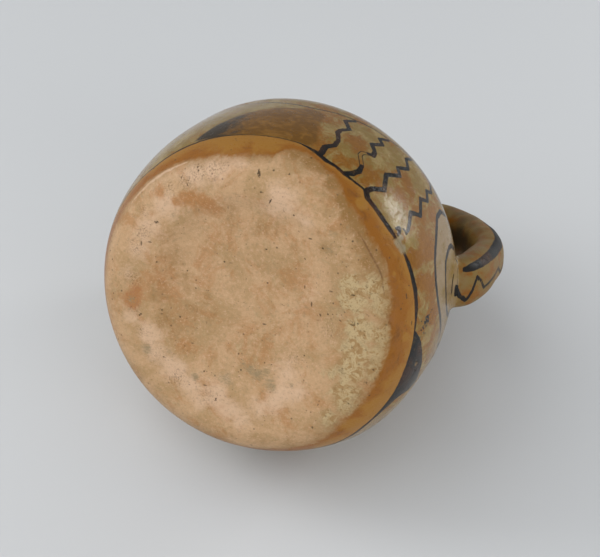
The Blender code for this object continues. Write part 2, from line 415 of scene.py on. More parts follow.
def make_handle():
    """Strap handle swept along its middle line, with closed ends."""
    line = handle_line()
    along = directions(line)
    across, out = strap_section(turns(HANDLE_COLUMNS))
    flare = line[:, 2:3]
    radius = line[:, 0:1] + along[:, 1:2] * out * flare
    level = line[:, 1:2] - along[:, 0:1] * out * flare
    places = np.stack([AXIS_X + radius, across * flare, level], axis=-1).reshape(-1, 3)
    middle = np.column_stack([AXIS_X + line[:, 0], np.zeros(len(line)), line[:, 1]])
    spread = places - np.repeat(middle, HANDLE_COLUMNS, axis=0)
    uneven = waves(places, 30 * MM, 21) * 0.025 + waves(places, 12 * MM, 22) * 0.008 - 0.02
    return tube_mesh("jar_handle", places + spread * uneven[:, None], HANDLE_COLUMNS)


def make_root_cutter():
    """Solid that fills the jar out to the middle of its wall, where the handle's roots end."""
    middle = spaced(inset_side(SIDE, 0.5), CUTTER_ROW)
    turn = np.tile(turns(CUTTER_COLUMNS), len(middle))
    radius, level = np.repeat(middle, CUTTER_COLUMNS, axis=0).T
    places = turned(turn, radius, level) + (AXIS_X, 0, 0)
    return tube_mesh("root_cutter", places, CUTTER_COLUMNS)


def combined(first, operation, second):
    """New mesh of two closed meshes joined or cut."""
    scene = bpy.context.scene
    items = [bpy.data.objects.new(mesh.name, mesh) for mesh in (first, second)]
    for item in items:
        scene.collection.objects.link(item)
    modifier = items[0].modifiers.new("combine", "BOOLEAN")
    modifier.operation = operation
    modifier.solver = "EXACT"
    modifier.object = items[1]
    graph = bpy.context.evaluated_depsgraph_get()
    mesh = bpy.data.meshes.new_from_object(items[0].evaluated_get(graph))
    for item in items:
        bpy.data.objects.remove(item, do_unlink=True)
    return mesh


def mesh_places(mesh):
    places = np.empty(len(mesh.vertices) * 3)
    mesh.vertices.foreach_get("co", places)
    return places.reshape(-1, 3)


def beyond_body(places):
    """How far each place stands out from the turned body."""
    radius = np.hypot(places[:, 0] - AXIS_X, places[:, 1])
    return radius - side_radius(places[:, 2])


# Clay smeared over the joins of the handle: its reach, how often and how strongly it's worked, how close a
# join's corner lies to the body and to the handle, and the part of the jar that holds the joins
SEAM_REACH = 6.5 * MM
SEAM_ROUNDS = 14
SEAM_PULL = 0.6
SEAM_GAP_BODY = 1.2 * MM
SEAM_GAP_HANDLE = 1.3 * MM
SEAM_HALF_WIDTH = 20 * MM
SEAM_LOWEST = 50 * MM
WELD_GAP = 0.02 * MM
WITHIN_WALL = -2 * MM


def near_tree(places):
    """Tree that finds the nearest of the places."""
    tree = kdtree.KDTree(len(places))
    for index, place in enumerate(places):
        tree.insert(place, index)
    tree.balance()
    return tree


def seam_weights(verts, handle):
    """How strongly each corner near a join is smeared, from 0 at the reach to 1 on the join."""
    on_handle = near_tree(handle)
    out = beyond_body(np.array([vert.co for vert in verts]))
    seam = near_tree([
        vert.co for vert in verts
        if abs(out[vert.index]) <= SEAM_GAP_BODY and vert.co.x >= AXIS_X and vert.co.z > SEAM_LOWEST
        and abs(vert.co.y) < SEAM_HALF_WIDTH and on_handle.find(vert.co)[2] < SEAM_GAP_HANDLE
    ])
    weights = {}
    for vert in verts:
        gap = seam.find(vert.co)[2]
        if gap < SEAM_REACH and out[vert.index] >= WITHIN_WALL:
            weights[vert] = 1 - gap / SEAM_REACH
    return weights


def smear_joins(mesh, handle):
    """Softens the creases where the handle meets the body, as clay worked over the join."""
    build = bmesh.new()
    build.from_mesh(mesh)
    bmesh.ops.remove_doubles(build, verts=build.verts, dist=WELD_GAP)
    build.verts.ensure_lookup_table()
    weights = seam_weights(build.verts, handle)
    for _ in range(SEAM_ROUNDS):
        moved = {}
        for vert, weight in weights.items():
            middle = Vector((0, 0, 0))
            for edge in vert.link_edges:
                middle += edge.other_vert(vert).co
            moved[vert] = vert.co.lerp(middle / len(vert.link_edges), SEAM_PULL * weight)
        for vert, place in moved.items():
            vert.co = place
    bmesh.ops.triangulate(build, faces=[face for face in build.faces if len(face.verts) > 4])
    bmesh.ops.recalc_face_normals(build, faces=build.faces)
    build.to_mesh(mesh)
    build.free()


# Places on the jar, given as a person would measure them


def on_side(azimuth, level):
    """Place on the outside of the body: degrees round the jar from the handle, and millimetres up."""
    turn = math.radians(azimuth)
    radius = float(side_radius(level * MM))
    return AXIS_X + radius * math.cos(turn), radius * math.sin(turn), level * MM


def on_underside(azimuth, radius):
    """Place on the underside: degrees round the jar, and millimetres from its middle."""
    turn = math.radians(azimuth)
    return AXIS_X + radius * MM * math.cos(turn), radius * MM * math.sin(turn), 0.0


def handle_table():
    """Gives places on the strap: millimetres along its middle line, and degrees round it, 90 facing out."""
    line = handle_line()[round(HANDLE_ROOT_LENGTH / HANDLE_ROW):]
    columns = np.column_stack([line, directions(line)]).T
    steps = np.arange(len(line)) * HANDLE_ROW / MM

    def place(along, angle):
        radius, level, flare, run, rise = (np.interp(along, steps, column) for column in columns)
        across, out = strap_section(math.radians(angle))
        return AXIS_X + radius + rise * out * flare, across * flare, level - run * out * flare

    return place


def placed(place_of, rows):
    """Rows whose first two numbers are turned into a place on the jar."""
    return [(place_of(*row[:2]), *row[2:]) for row in rows]


on_strap = handle_table()

# Painted strokes on the lower lobe: degrees round the jar, millimetres up, half width in millimetres
FRAMING_LINE = [
    (-150, 16.5, 0.3), (-131, 16, 0.4), (-119, 17.6, 0.55), (-106, 19.2, 0.4), (-93, 20, 0.2),
    (-76, 21.7, 0.3), (-69, 20.2, 1.3), (-65.7, 18.6, 1.25), (-62, 18.7, 0.9), (-58, 18, 1.0),
    (-53.7, 18.2, 0.6), (-50, 19, 0.7), (-47, 16.9, 1.4), (-42, 16.5, 1.3), (-36.3, 16.6, 1.3),
    (-32.7, 17, 1.2), (-29, 17.8, 0.7), (-25, 18.6, 0.8), (-20.4, 19.1, 1.2), (-11, 19.6, 1.5),
    (-6, 19.3, 1.3), (-1.6, 18.8, 0.9), (2, 18.5, 0.6), (9, 18.1, 0.5), (18, 17.2, 0.5), (27, 17.3, 0.6),
    (35, 16.2, 0.8), (44, 15.8, 1.0), (60, 18.3, 1.1), (75, 18.9, 1.0), (92, 18.2, 1.2), (110, 18.9, 1.0),
    (130, 17.7, 1.2), (150, 18.4, 1.0), (170, 17.6, 0.9), (190, 17.1, 0.7), (210, 16.5, 0.3),
]
UPPER_LINE = [
    (-180, 72, 0.5), (-150, 68, 0.5), (-116, 64.4, 0.45), (-106, 66, 0.45), (-94, 65, 0.4),
    (-81.7, 64, 0.45), (-74.8, 68, 0.5), (-68.5, 70, 0.6), (-61.5, 73, 0.6), (-56, 73.6, 0.6),
    (-49, 78, 0.6), (-41, 78.5, 0.6), (-30, 77.5, 0.6), (-22, 78, 0.6),
]
ZIGZAGS = [
    [(-68.4, 20.2, 1.5), (-68.7, 27.2, 1.5), (-66.8, 31.8, 1.2), (-67, 37.7, 1.0), (-69.2, 45.2, 1.2),
     (-69.1, 49.2, 1.1), (-67.2, 54.9, 1.1), (-70.6, 62.8, 1.1), (-68.3, 68.5, 1.0)],
    [(-57.9, 18.2, 1.4), (-56.1, 21.2, 1.4), (-55, 25.7, 1.3), (-55.6, 30.6, 1.1)],
    [(-57.2, 43.6, 0.9), (-55.5, 45.2, 1.3), (-55.9, 49.2, 1.3), (-58.6, 54.6, 1.2), (-56.1, 62.4, 1.1),
     (-58.3, 66.3, 1.0), (-55.9, 72.1, 0.9)],
    [(-46.8, 16.7, 1.5), (-48.8, 18.9, 1.4), (-48.2, 22.6, 1.3), (-45.2, 29.7, 1.3), (-48.3, 40.4, 1.2),
     (-45, 50.3, 1.1), (-47.4, 54.7, 1.1), (-44.8, 63.7, 1.0), (-47.7, 70.5, 0.9), (-46.4, 76.5, 0.8)],
    [(-29.6, 25.4, 0.6), (-30.3, 28.5, 1.0), (-34, 37.5, 1.2), (-31.1, 45, 1.1), (-35.1, 54.5, 1.1),
     (-32.9, 60.7, 1.0), (-35.5, 66.5, 1.0), (-34, 71.1, 0.9), (-36.3, 77.5, 0.8)],
]
# Stretch of the second zigzag where only the outline of the stroke is left
HOLLOW_STRETCH = [(-55.6, 30.4, 1.1), (-58.6, 37.4, 1.15), (-58.6, 40.6, 1.1), (-56.8, 43.6, 0.9)]
ARCHES = [
    [(-24, 79, 0.9), (-27.2, 71, 1.1), (-26.6, 63, 1.15), (-23, 55, 1.15), (-19, 47.5, 1.1),
     (-15.4, 43, 1.1),
     (-12, 41, 1.1), (-8.3, 40.2, 1.1), (-4.5, 40.9, 1.1), (-0.9, 43, 1.1), (3, 46.5, 1.1), (7, 51, 1.1),
     (11.5, 57.5, 1.0), (16, 62, 1.0), (19.6, 66.5, 1.0), (21.5, 72, 1.0), (21, 79, 0.9)],
    [(-13.4, 75.4, 1.1), (-15.2, 71.2, 1.1), (-15.2, 66.6, 1.1),
     (-14, 62, 1.1), (-12.2, 57.5, 1.0), (-8.5, 55.2, 0.9), (-4, 54.9, 0.9),
     (0.6, 57, 0.9), (4.5, 61.5, 0.9), (8, 68, 0.9), (9.8, 73, 0.9), (9, 77, 0.9)],
    [(-5.2, 70.6, 0.7), (-4.4, 69.2, 0.9), (-3.0, 68.2, 0.9), (-1.0, 68.2, 0.9), (0.8, 69.0, 0.7)],
]
# The same motifs carried on, more simply, over the side that the photo doesn't show
FAR_ZIGZAG_AZIMUTHS = (92, 103, 114)
FAR_ZIGZAG_STEPS = 8
FAR_ZIGZAG_SWING = 1.7
FAR_ZIGZAG_LOW = 18.5
FAR_ZIGZAG_HIGH = 74.0
FAR_UPPER_LINE = [
    (24, 78, 0.6), (45, 76.5, 0.6), (80, 77.5, 0.6), (115, 75.5, 0.6), (150, 74, 0.5), (180, 72, 0.5),
]
# Rings on the neck and the upper lobe, which the photo hides: millimetres up, half width
PLAIN_RINGS = [(119.5, 1.2), (170.5, 1.0)]
LIP_LINE_LOW = 188.5

# Strokes on the strap: millimetres along it, degrees round it, half width in millimetres
HANDLE_BAND = [
    (2.5, 128, 1.2), (5, 131, 1.9), (9, 134, 2.2), (15, 137, 2.4), (20, 138, 2.5), (28, 138, 2.7),
    (36, 139, 2.9), (46, 142, 3.0), (52, 147, 2.6), (58, 152, 2.0), (66, 156, 1.3), (72, 158, 0.6),
]
HANDLE_ZIGZAG = [
    (0, 80, 0.9), (0, 92, 1.0), (1.2, 76, 1.1), (3, 61, 1.1), (4.2, 76, 0.75), (7, 104, 0.75),
    (12, 80, 0.7), (18, 84, 0.7), (34, 90, 0.8), (41, 72, 0.7), (50, 92, 0.6), (58, 72, 0.6), (68, 90, 0.6),
]
# Remnants of black paint where the framing line is rubbed away, and the brush's last streak near the wedge
REMNANTS = [
    [(-32.9, 20.6, 0.8), (-32.3, 22.8, 1.0), (-31.4, 21.4, 1.2), (-30.8, 19.6, 0.7)],
    [(-31.5, 25.0, 0.4), (-30.8, 25.6, 0.5)], [(-32.2, 18.4, 0.35), (-31.7, 17.6, 0.35)],
    [(-27.8, 21.4, 0.3), (-27.5, 20.8, 0.3)],
    [(-1.7, 35, 0.2), (-0.6, 32.5, 0.3), (0.6, 29.8, 0.5)],
]

# Solid areas, as outlines in degrees round the jar and millimetres up
BLACK_WEDGE = [
    (3, 18.4), (4.5, 20.6), (8, 25.1), (12, 28.6), (18.6, 34.5), (23.5, 37.4), (27, 40), (28.6, 33),
    (29, 26), (30.8, 21.5), (35.5, 18), (40, 16.6), (40.2, 15.6), (35.5, 16), (30.2, 16.6), (22.9, 17),
    (12.9, 17.3), (8.2, 18),
]
LEAF = [
    (-114.5, 20), (-112, 25.5), (-108.6, 33.5), (-105, 39.5), (-101.4, 45.5), (-97, 51), (-92, 55.5),
    (-86, 59), (-80, 62), (-77, 60), (-76, 50), (-75, 42), (-73, 32), (-72, 26), (-73.5, 21.8), (-80, 21.4),
    (-90, 20.4), (-100, 19.4), (-108, 19),
]
FAR_LEAF = [
    (125, 19.5), (138, 24), (150, 36), (160, 52), (166, 66), (169, 58), (168.5, 44), (168, 30),
    (167.5, 19.5),
]
ARCH_FIELD = [(azimuth, level) for azimuth, level, _ in ARCHES[0]]
# Lower edge of the orange band: degrees round the jar, millimetres up
BAND_EDGE = [
    (-180, 9.5), (-150, 9.2), (-130, 8.5), (-112, 7.2), (-97, 6.0), (-82, 8.5), (-79.5, 14.5), (-75, 17),
    (-70, 16.5), (-66, 15), (-61, 13.5), (-56, 11.6), (-54, 9.8), (-49, 7.4), (-44, 6.8), (-38, 6.3),
    (-31.6, 7.0), (-25, 7.0), (-19, 5.8), (-11, 5.0), (-4, 4.0), (6, 4.4), (26, 3.9), (44, 4.2), (52, 5.5),
    (60, 7.5), (72, 8.0), (100, 7.2), (140, 9.0), (180, 9.5),
]

# Soft patches: degrees round the jar and millimetres from the underside's middle or up the side, or the two
# numbers that handle_table takes, then radius in millimetres and strength
# Orange tints on the underside and heel; the arc of them round the inside of the dimple's edge is painted
# shade that makes the dimple look deeper
ORANGE_TINTS_AND_DIMPLE_SHADE = placed(on_underside, [
    (-124, 62, 3.5, 0.9), (-120, 62, 4, 1.1), (-116.5, 60, 4.5, 1.2), (-112, 57.5, 4.5, 1.2),
    (-109, 54.3, 4.5, 1.2), (-106.6, 50.6, 4.5, 1.1), (-104.8, 47.6, 4, 0.9), (-166.9, 42, 9, 0.6),
    (179.3, 37.1, 10, 0.7), (162.2, 34.3, 11, 0.65), (141.9, 38, 9, 0.6), (125.1, 33.1, 7, 0.6),
    (-175, 22, 9, 0.45), (-106.6, 13.1, 8, 0.35), (-9.4, 6, 7, 0.35), (74.9, 45, 5, 0.7),
    (-92.3, 43.6, 9, 0.6), (-81.7, 41.6, 9, 0.5), (-155.1, 45.1, 7, 0.5), (-101, 42, 8, 0.65),
    (-118, 40, 8, 0.45), (-50, 30, 9, 0.45), (-35, 40, 7, 0.4), (110, 42, 8, 0.45),
]) + placed(on_side, [
    (-129, 1.8, 4.5, 0.9), (-134, 2.5, 4, 0.6), (-140, 5, 10, 0.5),
])
# Browner tone on the strip beside the orange band; on the dimple's steep side the brown is painted shade
# that makes the dimple look deeper
BROWNER_TONE_AND_DIMPLE_SHADE = placed(on_underside, [
    (22, 56, 7, 0.45), (-141, 52.7, 8, 0.4), (-152, 41.7, 12, 0.40), (-167, 32.4, 12, 0.42),
    (174, 23.7, 12, 0.42), (153, 17.5, 10, 0.4), (-176, 44.2, 10, 0.42), (165, 42, 8, 0.5),
    (152, 40, 7, 0.45), (139, 40, 6, 0.35), (-80, 42, 8, 0.5), (-71, 47.7, 7, 0.45), (-55, 40.7, 8, 0.4),
    (-101, 46, 7, 0.6), (-97, 50, 6, 0.5), (-30, 57, 8, 0.35), (-42, 58, 8, 0.4),
]) + placed(on_side, [
    (-46.5, 4.9, 5, 1.0), (-42, 4.4, 5, 1.0), (-38, 4, 5, 1.0), (-33, 3.7, 5, 1.0), (-28, 3.3, 6, 1.3),
    (-23, 3, 5, 1.1), (-18, 2.7, 5, 0.9), (-8, 2.1, 4, 0.4), (4, 1.7, 5, 0.8), (15, 1, 5, 0.7),
    (-53, 1.9, 6, 0.45), (-43, 1.3, 6, 0.55), (-35, 0.8, 6, 0.55), (-24, 0.5, 6, 0.45), (-13, 0.6, 6, 0.35),
    (-75, 14, 6, 0.75), (-70, 13, 6, 0.75), (-65, 12.5, 6, 0.75), (-59, 10, 5, 0.8), (-52, 7, 5, 0.95),
    (94, 1.4, 8, 0.3), (81, 2, 8, 0.35), (69.6, 3.5, 8, 0.4), (58, 5, 8, 0.4),
])
RED_SPOT = placed(on_underside, [
    (176.5, 59.0, 5.6, 1.0), (-178, 56.0, 3.6, 0.8),
])
GREY_SMUDGES = placed(on_underside, [
    (-129.6, 57.4, 2.4, 0.6), (-145.8, 23, 4.0, 0.7), (-142.9, 29.9, 2.5, 0.5), (-69.4, 46.5, 2.6, 0.7),
    (-71.1, 40.7, 2.6, 0.6), (149.9, 58.4, 3.6, 0.8), (121.3, 46.6, 2.4, 1.0), (82.3, 31.3, 4.0, 1.1),
    (90.4, 28.7, 3.4, 1.0), (75.7, 35, 4.0, 1.1), (68.8, 34, 3.6, 0.9), (102.6, 39.1, 4.6, 0.8),
    (67.7, 41, 4.2, 0.9), (-1.8, 12.1, 2.4, 0.8), (7.5, 16.1, 2.2, 0.8), (12.9, 33, 2.6, 0.7),
    (-1.8, 38.7, 2.4, 0.7), (-152, 21, 3.0, 0.9), (-16.6, 15.4, 2.2, 0.7), (53.2, 44.8, 2.2, 0.7),
    (143.2, 47.8, 2.4, 0.5), (-45.4, 65, 4.5, 0.45), (-40.9, 57, 4.5, 0.5), (-5.6, 50, 5.0, 0.4),
    (96, 22, 5.0, 0.35),
]) + placed(on_side, [
    (-88.5, 5.9, 3.0, 0.6),
])
ROSE_PATCHES = placed(on_underside, [
    (-130, 63, 9, 0.8), (-143, 61, 8, 0.7), (-157, 59, 8, 0.6), (156.6, 53.4, 8, 0.9),
    (132.8, 51.8, 8, 0.9), (105.6, 50, 9, 0.9), (90, 58, 9, 0.8), (52.5, 38.6, 9, 0.7), (54.3, 49, 8, 0.7),
    (-72, 62, 9, 0.9), (-75, 56, 9, 0.7), (-60, 60, 8, 0.5), (-18.3, 31.5, 9, 0.3), (168, 61, 7, 0.6),
    (147, 54, 8, 0.8), (140, 51, 7, 0.7), (120, 52, 8, 0.8), (113, 55, 8, 0.7), (98, 54, 8, 0.8),
    (80, 52, 8, 0.7), (70, 50, 7, 0.7), (62, 46, 7, 0.7), (-149, 61, 7, 0.6), (-170, 61, 6, 0.5),
]) + placed(on_side, [
    (-97.1, 4.3, 8, 0.9), (-103, 2, 8, 0.9), (-112, 1.4, 8, 0.8),
])
# Painted highlight: a pale line along the crest of the burnished ridge, where the ridge catches the light
RIDGE_HIGHLIGHT = [
    (-145, 6.2, 0.2), (-138, 6.2, 0.5), (-132, 6.3, 0.7), (-125, 6.5, 0.7), (-119, 6.4, 0.45),
    (-113, 6.5, 0.2),
]
# Thin crease between the band and the rubbed clay
CREASE = [
    (-41, 3.6, 0.0), (-37.2, 3.5, 0.1), (-33.9, 3.3, 0.2), (-30.1, 3.3, 0.2), (-25.1, 3.7, 0.25),
    (-21.1, 3.9, 0.2), (-17.5, 3.5, 0.1), (-13.7, 3.1, 0.0),
]
CRUST = placed(on_underside, [
    (-21.4, 58.8, 6, 0.8), (-14, 58, 7, 1.0), (0.6, 60.7, 7, 1.0), (11.5, 60, 7, 1.0), (21, 61.5, 7, 1.0),
    (31.9, 65, 7, 0.9), (27, 54, 5, 0.5), (-30, 61, 4, 0.3),
]) + placed(on_side, [
    (-17.8, 1.0, 6, 0.9), (-17.6, 4.1, 4, 0.8), (-10, 2.5, 6, 0.9), (1.9, 2.7, 6, 1.0), (10, 2.8, 6, 1.0),
    (17.7, 2.6, 5, 0.9), (38, 1.2, 6, 0.7), (47, 1.3, 6, 0.55),
])
ORANGE_PATCHES = placed(on_side, [
    (-61, 25, 5, 0.9), (-62, 45, 5, 1.0), (-52, 30, 7, 0.7), (-54, 14, 6, 0.8), (-42, 52, 6, 0.6),
    (-39, 36, 6, 0.7), (-29, 44, 6, 0.7), (-28, 60, 5, 0.6), (-21, 37, 7, 1.2), (-14, 26, 5, 0.9),
    (-20, 27, 6, 1.0), (-10, 32, 7, 1.1), (0, 36, 7, 0.8), (-78, 36, 9, 0.8), (-78, 56, 8, 0.7),
    (-70, 26, 5, 0.5), (10, 40, 5, 0.5), (80, 40, 10, 0.8), (125, 55, 10, 0.7), (-160, 45, 12, 0.6),
    (-130, 50, 9, 0.3),
])
PALE_PATCHES = placed(on_side, [
    (-98, 11, 9, 0.3), (-86, 12, 9, 0.3), (-95, 58, 10, 0.7), (-110, 40, 10, 0.9), (-125, 30, 12, 0.8),
    (-64, 60, 6, 0.8), (-64, 36, 3.5, 0.6), (-50, 62, 7, 0.8), (-40, 68, 7, 0.6), (-46, 36, 4, 0.5),
    (-53, 46, 3.5, 0.5), (-37, 26, 8, 0.9), (-25, 28, 5, 0.6), (-15, 29, 4, 0.4), (-47, 11.5, 2.6, 0.7),
    (22, 9, 7, 0.25), (33, 9, 8, 0.35), (44, 9, 8, 0.35), (58, 10, 9, 0.3), (4, 12, 1.6, 0.5),
    (-20, 9, 1.4, 0.4),
])
RUBBED = placed(on_side, [
    (-28.6, 17.2, 3.6, 1.0), (-26.2, 18.2, 3.2, 1.0), (-29.6, 20.6, 2.6, 0.8), (32, 30, 3.0, 0.5),
    (26, 40, 3.0, 0.3), (17, 27, 2.4, 0.6),
])
# Ground-down areas with open grain
ABRADED = placed(on_underside, [
    (-148, 62, 6, 0.7), (-157, 61, 6, 0.7), (-172, 59, 6, 0.7), (171, 58, 5, 0.7), (160, 57, 6, 0.6),
    (145, 57, 7, 0.6), (128, 55, 8, 0.7), (110, 54, 8, 0.6), (38, 34, 9, 0.6), (5, 46, 9, 0.6),
    (-20, 50, 7, 0.4),
]) + placed(on_side, [
    (-124, 1.2, 4, 0.8), (-116.6, 1.2, 5, 1.0), (-110, 1.9, 5, 1.0), (-102.9, 2.2, 5, 0.9),
    (-98.8, 2.6, 4, 0.6), (-104.5, 0.6, 5, 0.7), (-140, 1, 5, 0.6), (36, 1.5, 7, 0.7), (22, 1.5, 7, 0.7),
])
# Painted shade: dark patches on the waist under the handle and on the strap's inner face and one flank near
# its head, where shade falls
PAINTED_SHADE_PATCHES = placed(on_side, [
    (-12, 132, 17, 1.0), (0, 128, 18, 1.0), (12, 132, 17, 1.0), (0, 145, 17, 1.0), (-14, 146, 10, 0.8),
    (14, 146, 10, 0.8),
]) + placed(on_strap, [
    (84, 270, 10, 1.0), (76, 262, 10, 1.0), (68, 265, 10, 0.95), (60, 268, 9, 0.8), (88, 186, 9, 0.62),
    (78, 186, 8, 0.62), (96, 180, 8, 0.55), (80, 215, 9, 0.7), (70, 205, 9, 0.58), (60, 200, 9, 0.5),
])
# Small losses in the surface: degrees round the jar, millimetres up, radius and depth in millimetres
CHIPS = placed(on_side, [
    (-30.6, 15.8, 1.0, 0.35), (-28.6, 17.2, 0.9, 0.25), (-31.0, 21.4, 0.9, 0.25), (-44.8, 9.9, 0.9, 0.2),
    (-33.5, 12.3, 1.1, 0.15), (16.1, 26.3, 1.0, 0.25), (19.7, 28.2, 1.1, 0.25), (7.5, 25, 0.9, 0.2),
])
# Straw and grit that burnt or fell out of the clay: the place, then length, width, depth and direction
PITS = placed(on_underside, [
    (-81.9, 62, 1.6, 0.9, 0.35, 10), (-77, 59, 3.2, 0.7, 0.4, -60), (-71.4, 33.4, 1.0, 0.9, 0.4, 0),
    (-69.6, 57, 1.3, 0.7, 0.3, 40), (104.3, 52, 2.0, 1.1, 0.5, 80), (105.4, 60, 1.8, 0.8, 0.4, 60),
    (142.2, 52.1, 2.6, 0.6, 0.35, 20), (152.6, 49.6, 0.9, 0.8, 0.35, 0), (121.8, 52.2, 1.5, 0.7, 0.35, 50),
    (-43, 54.4, 1.4, 1.0, 0.4, 15), (-57.9, 62, 0.8, 0.7, 0.3, 0), (-43.2, 36, 2.2, 0.6, 0.3, 95),
    (-44.3, 43, 1.8, 0.6, 0.3, 70), (-5.6, 24.8, 2.4, 0.6, 0.3, 110), (-4.6, 39.6, 2.2, 0.9, 0.4, 60),
    (11.5, 34.7, 2.8, 0.5, 0.3, 140), (-2.4, 50.4, 1.6, 0.8, 0.35, 30), (-2, 58, 1.8, 0.9, 0.4, 100),
    (31.1, 38, 0.9, 0.8, 0.4, 0), (44.2, 45.9, 1.0, 0.9, 0.4, 0), (53.3, 44.6, 1.8, 0.7, 0.3, 20),
    (46.7, 60, 1.2, 0.8, 0.35, 0), (-139.4, 60, 2.2, 1.4, 0.35, 0), (-12, 20.3, 1.8, 0.5, 0.3, 20),
]) + placed(on_side, [
    (-84.6, 1.6, 3.4, 1.2, 0.5, 70), (-73.3, 4, 0.9, 0.8, 0.4, 0), (-64.9, 7.4, 0.8, 0.7, 0.3, 0),
    (17.3, 1.9, 1.3, 1.0, 0.45, 0), (35.9, 1.2, 1.4, 0.8, 0.35, 60),
])
SCATTERED_PITS = 60
SCATTER_REACH = 66
UNDERSIDE_REACH = 62
PIT_SHRINK = 0.7
HIGHEST_PIT = 12 * MM
SPECKLE_COUNT = 34
SPECKLE_PLACE = (1.6, 28.0)
SPECKLE_SPREAD = (1.7, 2.6)
SPECKLE_HALF_WIDTHS = (0.3, 0.6)
DOT_SPACING = 0.35 * MM
ZIGZAG_ANGLE = 80


def far_zigzag(azimuth):
    """Regular zigzag for the far side, from the framing line to the upper line."""
    levels = np.linspace(FAR_ZIGZAG_LOW, FAR_ZIGZAG_HIGH, FAR_ZIGZAG_STEPS)
    return [(azimuth + FAR_ZIGZAG_SWING * (-1) ** step, level, 1.1) for step, level in enumerate(levels)]


def far_handle_band():
    """The handle's band again on its far flank, mirrored about the zigzag."""
    return [(along, 2 * ZIGZAG_ANGLE - angle, half_width) for along, angle, half_width in HANDLE_BAND[2:]]


def stroke_dots(stroke, place_of):
    """Close points along a stroke, each with its half width."""
    knots = np.array(stroke, float)
    rough = np.array([place_of(*knot[:2]) for knot in knots])
    lengths = np.linalg.norm(np.diff(rough, axis=0), axis=1)
    dots = []
    for start, end, length in zip(knots, knots[1:], lengths):
        steps = max(2, math.ceil(length / DOT_SPACING))
        for share in np.arange(steps + 1) / steps:
            along, across, half_width = start + (end - start) * share
            dots.append((*place_of(along, across), half_width))
    return dots


def speckle_dots():
    """Spatter of black paint beside the arches, the same each run."""
    source = np.random.default_rng(52)
    spread = source.normal(size=(SPECKLE_COUNT, 2)) * SPECKLE_SPREAD + SPECKLE_PLACE
    half_widths = source.uniform(*SPECKLE_HALF_WIDTHS, SPECKLE_COUNT)
    return [(*on_side(*place), half_width) for place, half_width in zip(spread, half_widths)]


def painted_dots():
    body = ZIGZAGS + ARCHES + REMNANTS + [far_zigzag(azimuth) for azimuth in FAR_ZIGZAG_AZIMUTHS]
    dots = [dot for stroke in body for dot in stroke_dots(stroke, on_side)]
    for stroke in (HANDLE_BAND, HANDLE_ZIGZAG, far_handle_band()):
        dots += stroke_dots(stroke, on_strap)
    return dots + speckle_dots()


def stroke_distance(places, surface, dots):
    """Distance in millimetres from each place to the edge of the nearest stroke, negative inside it."""
    tree = near_tree([surface.find_nearest(dot[:3])[0] for dot in dots])
    widths = [dot[3] for dot in dots]
    distance = np.empty(len(places))
    for index, place in enumerate(places):
        _, nearest, gap = tree.find(place)
        distance[index] = gap / MM - widths[nearest]
    return distance


def outline_distance(azimuth, level, outline):
    """Distance in millimetres to an outline on the side, negative inside it."""
    scale = math.radians(1) * LOWER_LOBE_RADIUS / MM
    corners = np.array(outline, float) * (scale, 1)
    points = np.column_stack([azimuth * scale, level])
    best = np.full(len(points), np.inf)
    inside = np.zeros(len(points), bool)
    for start, end in zip(corners, np.roll(corners, -1, axis=0)):
        run = end - start
        share = np.clip((points - start) @ run / (run @ run), 0, 1)
        best = np.minimum(best, np.linalg.norm(points - start - share[:, None] * run, axis=1))
        crosses = (start[1] > points[:, 1]) != (end[1] > points[:, 1])
        rise = np.where(run[1] == 0, 1e-9, run[1])
        inside ^= crosses & (points[:, 0] < start[0] + (points[:, 1] - start[1]) / rise * run[0])
    return np.where(inside, -best, best)


SOFT_PATCHES = {
    "orange": ORANGE_TINTS_AND_DIMPLE_SHADE, "tan": BROWNER_TONE_AND_DIMPLE_SHADE, "red": RED_SPOT, "grey": GREY_SMUDGES, "rose": ROSE_PATCHES,
    "crust": CRUST, "patch_orange": ORANGE_PATCHES, "patch_pale": PALE_PATCHES, "rubbed": RUBBED,
    "abraded": ABRADED, "painted_shade": PAINTED_SHADE_PATCHES,
}


def soft_patches(places, patches):
    """Strongest of the soft patches at each place, from 0 to 1."""
    total = np.zeros(len(places))
    for middle, radius, strength in patches:
        gap = np.linalg.norm(places - middle, axis=1) / (radius * MM)
        total = np.maximum(total, strength * np.exp(-gap ** 2))
    return total


def scattered_pits():
    """Many more small pits on the underside, the same each run."""
    source = np.random.default_rng(41)
    pits = []
    for _ in range(SCATTERED_PITS):
        radius = SCATTER_REACH * math.sqrt(source.uniform(0.02, 1))
        azimuth = source.uniform(-180, 180)
        if radius < UNDERSIDE_REACH:
            place = on_underside(azimuth, radius)
        else:
            place = on_side(azimuth, source.uniform(0.5, 6))
        length = source.uniform(0.6, 1.7)
        width = length * source.uniform(0.35, 0.9)
        pits.append((place, length, max(0.5, width), source.uniform(0.12, 0.3), source.uniform(0, 180)))
    return pits


def pit_depth(places):
    """Depth in millimetres of the pits and chips at each place."""
    depth = np.zeros(len(places))
    for middle, radius, deep in CHIPS:
        gap = np.linalg.norm(places - middle, axis=1) / (radius * MM)
        depth = np.maximum(depth, deep * np.exp(-gap ** 4))
    low = places[:, 2] < HIGHEST_PIT
    ground = places[low]
    sunk = np.zeros(len(ground))
    for middle, length, width, deep, angle in PITS + scattered_pits():
        turn = math.radians(angle)
        offset = (ground[:, :2] - middle[:2]) / (PIT_SHRINK * MM)
        along = (offset[:, 0] * math.cos(turn) + offset[:, 1] * math.sin(turn)) / length
        across = (offset[:, 1] * math.cos(turn) - offset[:, 0] * math.sin(turn)) / width
        sunk = np.maximum(sunk, deep * np.exp(-along ** 2 - across ** 2))
    depth[low] = np.maximum(depth[low], sunk)
    return depth


